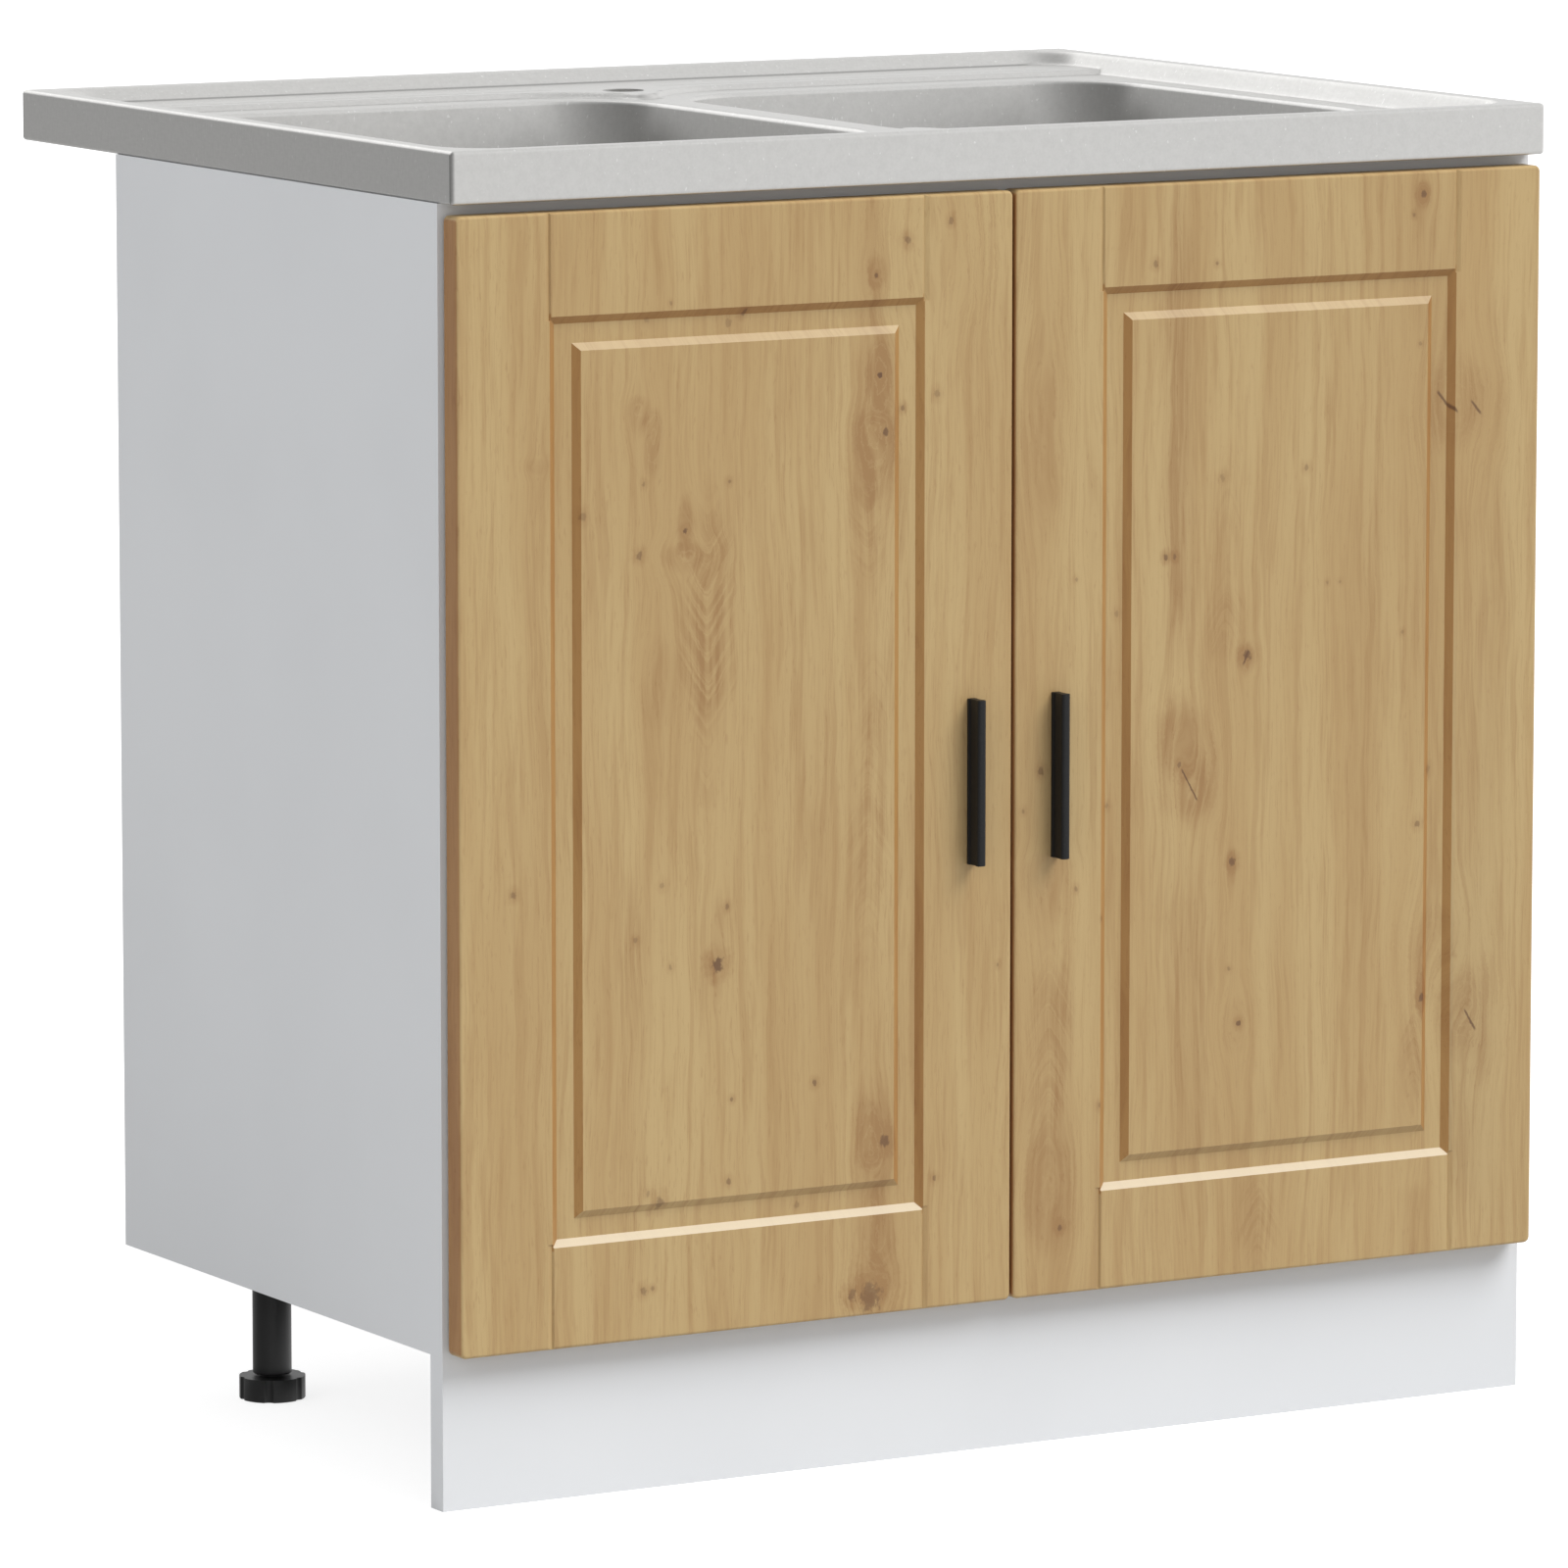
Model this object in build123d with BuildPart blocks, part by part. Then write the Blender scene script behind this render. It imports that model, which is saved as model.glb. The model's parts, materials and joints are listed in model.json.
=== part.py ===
from build123d import *
import os
from math import cos, radians, sin

# Sink base cabinet: a two-door carcass on adjustable legs under a lay-on double-bowl sink.
# Millimetres. +X is to the right, +Y to the back, +Z up. The origin is on the floor, under
# the middle of the whole object (from the front of the handles to the sink's back edge).

os.makedirs("parts", exist_ok=True)

# ---- driving dimensions: carcass ------------------------------------------------------
WIDTH = 800.0
CARCASS_DEPTH = 442.0
BOARD = 16.0
PLINTH_HEIGHT = 97.0
SIDE_HEIGHT = 716.0
FRONT_RAIL_HEIGHT = 80.0
BACK_RAIL_HEIGHT = 80.0
UPPER_BACK_RAIL_TOP = 683.0
SIDES = {"left": -1, "right": 1}

# ---- driving dimensions: doors and handles ---------------------------------------------
DOOR_THICKNESS = 16.0
DOOR_GAP = 3.0
DOOR_REVEAL = 3.0
DOOR_MIDDLE_GAP = 2.0
DOOR_BOTTOM = 99.0
DOOR_HEIGHT = 707.0
DOOR_CORNER_RADIUS = 4.0
DOOR_EDGE_RADIUS = 2.0
STILE_WIDTH = 64.5
RAIL_WIDTH = 64.0
FIELD_DEPTH = 3.35
FIELD_SLOPE = 4.75
FIELD_FLOOR = 12.2
JOINT_GROOVE_DEPTH = 1.1
JOINT_GROOVE_EASE = 3.3
HANDLE_LENGTH = 105.5
HANDLE_REACH = 14.0
HANDLE_WIDTH = 6.0
HANDLE_STEM = 4.6
HANDLE_X = 31.0
HANDLE_Z = 434.3
HANDLE_SCREW_SPACING = 96.0
HANDLE_SCREW_RADIUS = 1.9

# ---- driving dimensions: sink ------------------------------------------------------------
SINK_DEPTH = 600.0
SINK_HEIGHT = 155.0
APRON = 33.0
SHEET = 1.0
APRON_EDGE_RADIUS = 2.5
RETURN_LIP = 16.0
RIM = 13.0
RIM_CORNER_RADIUS = 34.0
LEDGE_DROP = 9.0
LAND_DROP = 12.5
SIDE_WALL_RUN = 7.5
END_WALL_RUN = 15.0
LEDGE_EDGE = 218.0
TONGUE_EDGE = 170.0
SHOULDER_X = 84.0
SHOULDER_RADIUS = 90.0
LEDGE_STEP_RUN = 8.0
BOWL_WIDTH = 341.5
BOWL_LENGTH = 370.0
BOWL_DIVIDER = 31.0
BOWL_CORNER_RADIUS = 62.0
BOWL_DRAFT = 8.0
BOWL_LIP_RADIUS = 5.0
BOWL_FLOOR_RADIUS = 22.0
WASTE_HOLE_RADIUS = 26.0
WASTE_DISH_RADIUS = 42.0
WASTE_DISH_DEPTH = 3.0
TAP_HOLE_RADIUS = 14.0
TAP_HOLE_Y = 206.0
DRAIN_GROOVE_ROWS = (231.0, 256.0)
DRAIN_GROOVE_START = 38.0
DRAIN_GROOVE_END = 349.0
DRAIN_GROOVE_WIDTH = 10.0
DRAIN_GROOVE_DEPTH = 1.2

# ---- driving dimensions: legs and plinth ---------------------------------------------------
LEG_SIDE_INSET = 72.0
LEG_BACK_INSET = 69.0
LEG_FRONT_INSET = 58.0
LEG_TUBE_RADIUS = 12.75
LEG_THREAD_RADIUS = 8.0
FOOT_RADIUS = 21.65
FOOT_HEIGHT = 15.0
FOOT_TRAVEL_GAP = 1.5
FOOT_NOTCHES = 6
FOOT_NOTCH_ANGLE = -3.0
SOCKET_PLATE = 62.0
SOCKET_PLATE_THICKNESS = 3.5
SOCKET_BOSS_RADIUS = 18.0
SOCKET_BOSS_HEIGHT = 20.0
SOCKET_SCREW_SPACING = 46.0

# ---- driving dimensions: concealed hinges ----------------------------------------------------
HINGE_FROM_DOOR_END = 100.0
PIVOT_FROM_EDGE = 7.0
PIVOT_DEPTH = 7.5
CUP_FROM_EDGE = 20.5
CUP_RADIUS = 17.4
CUP_DEPTH = 12.0
CUP_WALL = 1.0
CUP_FLANGE = 1.0
CUP_SCREW_OFFSET = 9.5
CUP_SCREW_SPACING = 45.0
ARM_PIVOT_REACH = 12.3
ARM_THICKNESS = 2.2
ARM_HALF_WIDTH = 6.0
LINK_PIN_REACH = 3.5
LINK_PIN_ANGLE = 50.0
LINK_LENGTH = 9.6
LINK_HALF_WIDTH = 2.2
PLATE_SETBACK = 37.0
PLATE_SCREW_SPACING = 32.0

# ---- driving dimensions: knock-down fittings -----------------------------------------------
CAM_RADIUS = 7.5
CAM_DEPTH = 12.5
CAM_SETBACK = 34.0
CAM_BOLT_BORE_RADIUS = 4.0
CAM_BOLT_THREAD_RADIUS = 2.5
CAM_BOLT_THREAD_LENGTH = 11.0
DOWEL_RADIUS = 4.0
DOWEL_LENGTH = 30.0
DOWEL_IN_SIDE = 10.0
FIT = 0.05

# ---- positions worked out from the driving dimensions ------------------------------------
HALF_WIDTH = WIDTH / 2
INNER_X = HALF_WIDTH - BOARD
TOTAL_DEPTH = HANDLE_REACH + SINK_DEPTH
SINK_BACK = TOTAL_DEPTH / 2
SINK_FRONT = SINK_BACK - SINK_DEPTH
SINK_Y = (SINK_FRONT + SINK_BACK) / 2
DOOR_FRONT = SINK_FRONT
DOOR_BACK = DOOR_FRONT + DOOR_THICKNESS
FRONT = DOOR_BACK + DOOR_GAP
BACK = FRONT + CARCASS_DEPTH
CARCASS_MIDDLE_Y = (FRONT + BACK) / 2
CARCASS_TOP = PLINTH_HEIGHT + SIDE_HEIGHT
BOTTOM_TOP = PLINTH_HEIGHT + BOARD
RIM_Z = CARCASS_TOP + APRON
LEDGE_Z = RIM_Z - LEDGE_DROP
LAND_Z = RIM_Z - LAND_DROP
BOWL_FLOOR_Z = RIM_Z - SINK_HEIGHT + SHEET + WASTE_DISH_DEPTH
DOOR_WIDTH = HALF_WIDTH - DOOR_REVEAL - DOOR_MIDDLE_GAP / 2
DOOR_X = DOOR_MIDDLE_GAP / 2 + DOOR_WIDTH / 2
DOOR_Z = DOOR_BOTTOM + DOOR_HEIGHT / 2
DOOR_OUTER_X = HALF_WIDTH - DOOR_REVEAL
PIVOT_X = DOOR_OUTER_X - PIVOT_FROM_EDGE
PIVOT_Y = DOOR_BACK - PIVOT_DEPTH
CUP_X = DOOR_OUTER_X - CUP_FROM_EDGE
HINGE_LEVELS = {
    "upper": DOOR_BOTTOM + DOOR_HEIGHT - HINGE_FROM_DOOR_END,
    "lower": DOOR_BOTTOM + HINGE_FROM_DOOR_END,
}
LEG_X = HALF_WIDTH - LEG_SIDE_INSET
LEG_ROWS = {"front": FRONT + LEG_FRONT_INSET, "rear": BACK - LEG_BACK_INSET}
BOWL_X = BOWL_DIVIDER / 2 + BOWL_WIDTH / 2
CLIP_ROWS = (FRONT + 72.0, BACK - 82.0)

UP = (0, 0, 1)
DOWN = (0, 0, -1)
TO_FRONT = (0, -1, 0)
TO_BACK = (0, 1, 0)


# ---- shared sketches and helpers ------------------------------------------------------------
def facing_back(x, y, z):
    """An upright plane across the cabinet that faces its back, with x_dir to the right."""
    return Plane(origin=(x, y, z), x_dir=(1, 0, 0), z_dir=TO_BACK)


def disc(plane, radius):
    """A round profile on the plane's origin."""
    with BuildSketch(plane) as profile:
        Circle(radius)
    return profile.sketch


def rectangle(plane, width, height):
    """A rectangular profile centred on the plane's origin."""
    with BuildSketch(plane) as profile:
        Rectangle(width, height)
    return profile.sketch


def rounded(plane, width, height, radius):
    """A rectangle with rounded corners, centred on the plane's origin."""
    with BuildSketch(plane) as profile:
        RectangleRounded(width, height, radius)
    return profile.sketch


def drill(plane, radius, depth):
    """Bore a blind hole into the current piece; the plane faces out of its mouth."""
    extrude(disc(plane, radius), amount=-depth, mode=Mode.SUBTRACT)


def save(piece, name):
    """Label the finished piece and write it as its own file."""
    piece.part.label = name
    export_step(piece.part, f"parts/{name}.step")


# ---- places of the knock-down fittings --------------------------------------------------------
def cam_seat(side, y, z, facing):
    """The mouth of a cam pocket: x_dir points along its bolt, towards the side panel."""
    origin = (side * (INNER_X - CAM_SETBACK), y, z)
    return Plane(origin=origin, x_dir=(side, 0, 0), z_dir=facing)


def bolt_plane(seat):
    """Where a cam's bolt enters the side panel, facing that panel."""
    origin = seat.origin + seat.x_dir * CAM_SETBACK - seat.z_dir * (BOARD / 2)
    return Plane(origin=origin, z_dir=seat.x_dir)


def dowel_plane(side, y, z):
    """The inner face of a side panel at a dowel, facing that panel."""
    return Plane(origin=(side * INNER_X, y, z), z_dir=(side, 0, 0))


BOTTOM_MIDDLE = PLINTH_HEIGHT + BOARD / 2
FRONT_RAIL_Z = CARCASS_TOP - FRONT_RAIL_HEIGHT / 2
BACK_RAIL_LEVELS = {
    "upper": UPPER_BACK_RAIL_TOP - BACK_RAIL_HEIGHT / 2,
    "lower": BOTTOM_TOP + BACK_RAIL_HEIGHT / 2,
}
RAIL_FITTING_OFFSET = 18.0
BOTTOM_CAM_ROWS = (FRONT + 112.0, BACK - 122.0)
BOTTOM_DOWEL_ROWS = (FRONT + 37.0, BACK - 37.0)

SEATS = {
    "bottom": [
        cam_seat(s, y, PLINTH_HEIGHT, DOWN) for s in SIDES.values() for y in BOTTOM_CAM_ROWS
    ],
    "front": [
        cam_seat(s, FRONT + BOARD, FRONT_RAIL_Z - RAIL_FITTING_OFFSET, TO_BACK)
        for s in SIDES.values()
    ],
}
DOWELS = {
    "bottom": [
        dowel_plane(s, y, BOTTOM_MIDDLE) for s in SIDES.values() for y in BOTTOM_DOWEL_ROWS
    ],
    "front": [
        dowel_plane(s, FRONT + BOARD / 2, FRONT_RAIL_Z + RAIL_FITTING_OFFSET)
        for s in SIDES.values()
    ],
}
for level, rail_z in BACK_RAIL_LEVELS.items():
    SEATS[level] = [
        cam_seat(s, BACK - BOARD, rail_z - RAIL_FITTING_OFFSET, TO_FRONT) for s in SIDES.values()
    ]
    DOWELS[level] = [
        dowel_plane(s, BACK - BOARD / 2, rail_z + RAIL_FITTING_OFFSET) for s in SIDES.values()
    ]
ALL_SEATS = [seat for seats in SEATS.values() for seat in seats]
ALL_DOWELS = [dowel for dowels in DOWELS.values() for dowel in dowels]


def cut_board_end_fittings(name):
    """Cam pockets, bolt bores and dowel holes in a board that lies between the sides."""
    for seat in SEATS[name]:
        drill(seat, CAM_RADIUS, CAM_DEPTH)
        drill(bolt_plane(seat), CAM_BOLT_BORE_RADIUS, CAM_SETBACK)
    for mouth in DOWELS[name]:
        drill(mouth, DOWEL_RADIUS, DOWEL_LENGTH - DOWEL_IN_SIDE)


# ---- carcass boards ---------------------------------------------------------------------------
def plate_plane(side, z):
    """The inner face of a side panel at a hinge plate: x_dir to the back, facing inwards."""
    origin = (side * INNER_X, FRONT + PLATE_SETBACK, z)
    return Plane(origin=origin, x_dir=TO_BACK, z_dir=(-side, 0, 0))


PLATE_SCREW_HOLE_RADIUS = 1.75
PLATE_SCREW_LENGTH = 12.0
CLIP_SCREW_DROP = 20.0
CLIP_SCREW_RADIUS = 1.75
CLIP_SCREW_LENGTH = 12.0


def clip_screw_plane(side, y):
    """The inner face of a side panel at a sink clip's screw, facing inwards."""
    origin = (side * INNER_X, y, CARCASS_TOP - CLIP_SCREW_DROP)
    return Plane(origin=origin, x_dir=TO_BACK, z_dir=(-side, 0, 0))



for side_name, side in SIDES.items():
    with BuildPart() as side_panel:
        middle = Plane(origin=(side * (INNER_X + BOARD / 2), CARCASS_MIDDLE_Y, PLINTH_HEIGHT))
        extrude(rectangle(middle, BOARD, CARCASS_DEPTH), amount=SIDE_HEIGHT)
        for seat in ALL_SEATS:
            mouth = bolt_plane(seat)
            if mouth.origin.X * side > 0:
                into_panel = Plane(origin=mouth.origin, z_dir=(-side, 0, 0))
                drill(into_panel, CAM_BOLT_THREAD_RADIUS, CAM_BOLT_THREAD_LENGTH)
        for mouth in ALL_DOWELS:
            if mouth.origin.X * side > 0:
                into_panel = Plane(origin=mouth.origin, z_dir=(-side, 0, 0))
                drill(into_panel, DOWEL_RADIUS, DOWEL_IN_SIDE)
        for hinge_z in HINGE_LEVELS.values():
            for offset in (-PLATE_SCREW_SPACING / 2, PLATE_SCREW_SPACING / 2):
                screw_mouth = plate_plane(side, hinge_z + offset)
                drill(screw_mouth, PLATE_SCREW_HOLE_RADIUS, PLATE_SCREW_LENGTH)
        for clip_y in CLIP_ROWS:
            drill(clip_screw_plane(side, clip_y), CLIP_SCREW_RADIUS, CLIP_SCREW_LENGTH)
    save(side_panel, f"{side_name}_side_panel")

SOCKET_SCREW_RADIUS = 1.9
SOCKET_SCREW_LENGTH = 11.0
LEG_PLACES = {
    f"{row}_{side_name}": (side * LEG_X, leg_y)
    for row, leg_y in LEG_ROWS.items()
    for side_name, side in SIDES.items()
}

with BuildPart() as bottom_panel:
    under = Plane(origin=(0, CARCASS_MIDDLE_Y, PLINTH_HEIGHT))
    extrude(rectangle(under, 2 * INNER_X, CARCASS_DEPTH), amount=BOARD)
    cut_board_end_fittings("bottom")
    for leg_x, leg_y in LEG_PLACES.values():
        with Locations(Location((leg_x, leg_y, PLINTH_HEIGHT))):
            with GridLocations(SOCKET_SCREW_SPACING, SOCKET_SCREW_SPACING, 2, 2):
                Cylinder(
                    SOCKET_SCREW_RADIUS,
                    SOCKET_SCREW_LENGTH,
                    align=(Align.CENTER, Align.CENTER, Align.MIN),
                    mode=Mode.SUBTRACT,
                )
save(bottom_panel, "bottom_panel")

with BuildPart() as front_top_rail:
    rail_face = facing_back(0, FRONT, FRONT_RAIL_Z)
    extrude(rectangle(rail_face, 2 * INNER_X, FRONT_RAIL_HEIGHT), amount=BOARD)
    cut_board_end_fittings("front")
save(front_top_rail, "front_top_rail")

for level, rail_z in BACK_RAIL_LEVELS.items():
    with BuildPart() as back_rail:
        rail_face = facing_back(0, BACK - BOARD, rail_z)
        extrude(rectangle(rail_face, 2 * INNER_X, BACK_RAIL_HEIGHT), amount=BOARD)
        cut_board_end_fittings(level)
    save(back_rail, f"{level}_back_rail")

# ---- knock-down fittings: cam discs, their bolts and the dowels ----------------------------
BOLT_COLLAR_LENGTH = 2.0
BOLT_SHANK_LENGTH = 27.0
BOLT_HEAD_RADIUS = 3.3
BOLT_HEAD_LENGTH = 4.5
CAM_THROAT_RADIUS = 3.6
CAM_THROAT_START = 0.5
CAM_DRIVE_LENGTH = 7.0
CAM_DRIVE_WIDTH = 1.3
CAM_DRIVE_DEPTH = 2.0
DOWEL_CHAMFER = 1.0

with BuildPart() as cam_locks:
    for seat in ALL_SEATS:
        extrude(disc(seat, CAM_RADIUS - FIT), amount=-CAM_DEPTH + FIT)
        axis_origin = seat.origin - seat.z_dir * (BOARD / 2) + seat.x_dir * CAM_THROAT_START
        throat = Plane(origin=axis_origin, z_dir=seat.x_dir)
        extrude(disc(throat, CAM_THROAT_RADIUS), amount=CAM_RADIUS, mode=Mode.SUBTRACT)
        for turn in (45, 135):
            drive = seat.rotated((0, 0, turn))
            slot = rectangle(drive, CAM_DRIVE_LENGTH, CAM_DRIVE_WIDTH)
            extrude(slot, amount=-CAM_DRIVE_DEPTH, mode=Mode.SUBTRACT)
save(cam_locks, "cam_locks")

with BuildPart() as cam_bolts:
    for seat in ALL_SEATS:
        mouth = bolt_plane(seat)
        extrude(disc(mouth, CAM_BOLT_THREAD_RADIUS - FIT), amount=CAM_BOLT_THREAD_LENGTH - FIT)
        extrude(disc(mouth, CAM_BOLT_BORE_RADIUS - FIT), amount=-BOLT_COLLAR_LENGTH)
        extrude(disc(mouth, CAM_BOLT_THREAD_RADIUS), amount=-BOLT_SHANK_LENGTH)
        neck = mouth.offset(-BOLT_SHANK_LENGTH)
        extrude(disc(neck, BOLT_HEAD_RADIUS), amount=-BOLT_HEAD_LENGTH)
save(cam_bolts, "cam_bolts")

with BuildPart() as dowels:
    for mouth in ALL_DOWELS:
        tip = mouth.offset(DOWEL_IN_SIDE - FIT)
        extrude(disc(tip, DOWEL_RADIUS - FIT), amount=-DOWEL_LENGTH + 2 * FIT)
    chamfer(dowels.edges().filter_by(GeomType.CIRCLE), DOWEL_CHAMFER)
save(dowels, "dowels")

# ---- plinth board and the clips that hold it to the front legs -----------------------------
PLINTH_CLIP_Z = 47.0
PLINTH_CLIP_HEIGHT = 14.0
CLIP_PLATE_WIDTH = 36.0
CLIP_PLATE_HEIGHT = 30.0
CLIP_PLATE_THICKNESS = 3.0
CLIP_PLATE_CORNER = 4.0
CLIP_ARM_WIDTH = 9.0
CLIP_RING_WALL = 2.8
CLIP_RING_MOUTH = 19.0
CLIP_SCREW_X = 13.0
PLINTH_BACK = FRONT + BOARD

with BuildPart() as plinth_board:
    plinth_face = facing_back(0, FRONT, PLINTH_HEIGHT / 2)
    extrude(rectangle(plinth_face, WIDTH, PLINTH_HEIGHT), amount=BOARD)
    for side in SIDES.values():
        for offset in (-CLIP_SCREW_X, CLIP_SCREW_X):
            screw_mouth = facing_back(side * LEG_X + offset, PLINTH_BACK, PLINTH_CLIP_Z)
            drill(screw_mouth, CLIP_SCREW_RADIUS, CLIP_SCREW_LENGTH - CLIP_PLATE_THICKNESS)
save(plinth_board, "plinth_board")

with BuildPart() as plinth_clips:
    for side in SIDES.values():
        ring_middle = Plane(
            origin=(side * LEG_X, LEG_ROWS["front"], PLINTH_CLIP_Z - PLINTH_CLIP_HEIGHT / 2)
        )
        ring_outer = LEG_TUBE_RADIUS + 2 * FIT + CLIP_RING_WALL
        reach = LEG_ROWS["front"] - PLINTH_BACK - CLIP_PLATE_THICKNESS / 2
        with BuildSketch(ring_middle) as ring:
            Circle(ring_outer)
            with Locations((0, -reach / 2)):
                Rectangle(CLIP_ARM_WIDTH, reach)
            Circle(LEG_TUBE_RADIUS + 2 * FIT, mode=Mode.SUBTRACT)
            with Locations((0, ring_outer)):
                Rectangle(CLIP_RING_MOUTH, 1.4 * ring_outer, mode=Mode.SUBTRACT)
        extrude(ring.sketch, amount=PLINTH_CLIP_HEIGHT)
        back_of_plinth = facing_back(side * LEG_X, PLINTH_BACK, PLINTH_CLIP_Z)
        foot_plate = rounded(
            back_of_plinth, CLIP_PLATE_WIDTH, CLIP_PLATE_HEIGHT, CLIP_PLATE_CORNER
        )
        extrude(foot_plate, amount=CLIP_PLATE_THICKNESS)
        with BuildSketch(back_of_plinth) as screw_holes:
            with GridLocations(2 * CLIP_SCREW_X, 0, 2, 1):
                Circle(CLIP_SCREW_RADIUS + FIT)
        extrude(screw_holes.sketch, amount=CLIP_PLATE_THICKNESS, mode=Mode.SUBTRACT)
save(plinth_clips, "plinth_clips")

WOOD_SCREW_HEAD_RADIUS = 3.6
WOOD_SCREW_HEAD_HEIGHT = 2.0
WOOD_SCREW_RECESS_RADIUS = 1.4
WOOD_SCREW_RECESS_DEPTH = 1.2


def wood_screw(head_seat, shank_radius, shank_length):
    """A pan-head screw: the plane is the face under its head, facing the driver."""
    extrude(disc(head_seat, WOOD_SCREW_HEAD_RADIUS), amount=WOOD_SCREW_HEAD_HEIGHT)
    extrude(disc(head_seat, shank_radius - FIT), amount=-shank_length + FIT)
    recess = disc(head_seat.offset(WOOD_SCREW_HEAD_HEIGHT), WOOD_SCREW_RECESS_RADIUS)
    extrude(recess, amount=-WOOD_SCREW_RECESS_DEPTH, mode=Mode.SUBTRACT)


with BuildPart() as plinth_clip_screws:
    for side in SIDES.values():
        for offset in (-CLIP_SCREW_X, CLIP_SCREW_X):
            plate_back = PLINTH_BACK + CLIP_PLATE_THICKNESS
            seat = facing_back(side * LEG_X + offset, plate_back, PLINTH_CLIP_Z)
            wood_screw(seat, CLIP_SCREW_RADIUS, CLIP_SCREW_LENGTH)
save(plinth_clip_screws, "plinth_clip_screws")

# ---- legs: a socket screwed under the bottom, a push-in tube and a threaded foot -----------
SOCKET_TOP = PLINTH_HEIGHT
SOCKET_MOUTH = SOCKET_TOP - SOCKET_BOSS_HEIGHT
GUSSET_THICKNESS = 2.5
GUSSET_REACH = 9.0
GUSSET_DROP = 14.0
GUSSET_ROOT = 1.0
SOCKET_PLATE_CORNER = 9.0
TUBE_CHAMFER = 0.8
TUBE_END_WALL = 3.0
FOOT_NOTCH_RADIUS = 3.7
FOOT_NOTCH_OFFSET = 2.2
FOOT_EDGE_RADIUS = 0.8
TUBE_TOP = SOCKET_TOP - SOCKET_PLATE_THICKNESS - FIT
TUBE_BOTTOM = FOOT_HEIGHT + FOOT_TRAVEL_GAP
FOOT_STEM_TOP = 70.0
FOOT_THREAD_CLEARANCE = 0.08

for place, (leg_x, leg_y) in LEG_PLACES.items():
    with BuildPart() as leg_socket:
        under_board = Plane(origin=(leg_x, leg_y, SOCKET_TOP), z_dir=DOWN)
        plate = rounded(under_board, SOCKET_PLATE, SOCKET_PLATE, SOCKET_PLATE_CORNER)
        extrude(plate, amount=SOCKET_PLATE_THICKNESS)
        extrude(disc(under_board, SOCKET_BOSS_RADIUS), amount=SOCKET_BOSS_HEIGHT)
        for turn in (0, 90, 180, 270):
            direction = Vector(cos(radians(turn)), sin(radians(turn)), 0)
            gusset_plane = Plane(
                origin=(leg_x, leg_y, SOCKET_TOP - SOCKET_PLATE_THICKNESS),
                x_dir=direction,
                z_dir=direction.cross(Vector(0, 0, 1)),
            )
            inner_edge = SOCKET_BOSS_RADIUS - GUSSET_ROOT
            outer_edge = SOCKET_BOSS_RADIUS + GUSSET_REACH
            with BuildSketch(gusset_plane) as gusset:
                with BuildLine():
                    Polyline(
                        (inner_edge, GUSSET_ROOT),
                        (outer_edge, GUSSET_ROOT),
                        (outer_edge, 0),
                        (inner_edge, -GUSSET_DROP),
                        close=True,
                    )
                make_face()
            extrude(gusset.sketch, amount=GUSSET_THICKNESS / 2, both=True)
        bore = disc(under_board.offset(SOCKET_PLATE_THICKNESS), LEG_TUBE_RADIUS + FIT)
        extrude(bore, amount=SOCKET_BOSS_HEIGHT, mode=Mode.SUBTRACT)
        with BuildSketch(under_board) as screw_holes:
            with GridLocations(SOCKET_SCREW_SPACING, SOCKET_SCREW_SPACING, 2, 2):
                Circle(SOCKET_SCREW_RADIUS + FIT)
        extrude(screw_holes.sketch, amount=SOCKET_PLATE_THICKNESS, mode=Mode.SUBTRACT)
    save(leg_socket, f"{place}_leg_socket")

    with BuildPart() as leg_tube:
        tube_end = Plane(origin=(leg_x, leg_y, TUBE_BOTTOM))
        tube_length = TUBE_TOP - TUBE_BOTTOM
        extrude(disc(tube_end, LEG_TUBE_RADIUS), amount=tube_length)
        lower_edge = leg_tube.edges().filter_by(GeomType.CIRCLE).sort_by(Axis.Z)[0]
        chamfer(lower_edge, TUBE_CHAMFER)
        bore = disc(tube_end, LEG_THREAD_RADIUS)
        extrude(bore, amount=tube_length - TUBE_END_WALL, mode=Mode.SUBTRACT)
    save(leg_tube, f"{place}_leg_tube")

    with BuildPart() as leg_foot:
        floor = Plane(origin=(leg_x, leg_y, 0))
        with BuildSketch(floor) as tread:
            Circle(FOOT_RADIUS)
            notch_circle = FOOT_RADIUS + FOOT_NOTCH_OFFSET
            with PolarLocations(notch_circle, FOOT_NOTCHES, start_angle=FOOT_NOTCH_ANGLE):
                Circle(FOOT_NOTCH_RADIUS, mode=Mode.SUBTRACT)
        extrude(tread.sketch, amount=FOOT_HEIGHT)
        fillet(leg_foot.faces().sort_by(Axis.Z)[0].outer_wire().edges(), FOOT_EDGE_RADIUS)
        stem = disc(floor.offset(FOOT_HEIGHT), LEG_THREAD_RADIUS - FOOT_THREAD_CLEARANCE)
        extrude(stem, amount=FOOT_STEM_TOP - FOOT_HEIGHT)
    save(leg_foot, f"{place}_leg_foot")

with BuildPart() as leg_socket_screws:
    for leg_x, leg_y in LEG_PLACES.values():
        for along in (-SOCKET_SCREW_SPACING / 2, SOCKET_SCREW_SPACING / 2):
            for across in (-SOCKET_SCREW_SPACING / 2, SOCKET_SCREW_SPACING / 2):
                seat = Plane(
                    origin=(leg_x + along, leg_y + across, SOCKET_TOP - SOCKET_PLATE_THICKNESS),
                    z_dir=DOWN,
                )
                wood_screw(seat, SOCKET_SCREW_RADIUS, SOCKET_SCREW_LENGTH + SOCKET_PLATE_THICKNESS)
save(leg_socket_screws, "leg_socket_screws")

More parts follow.
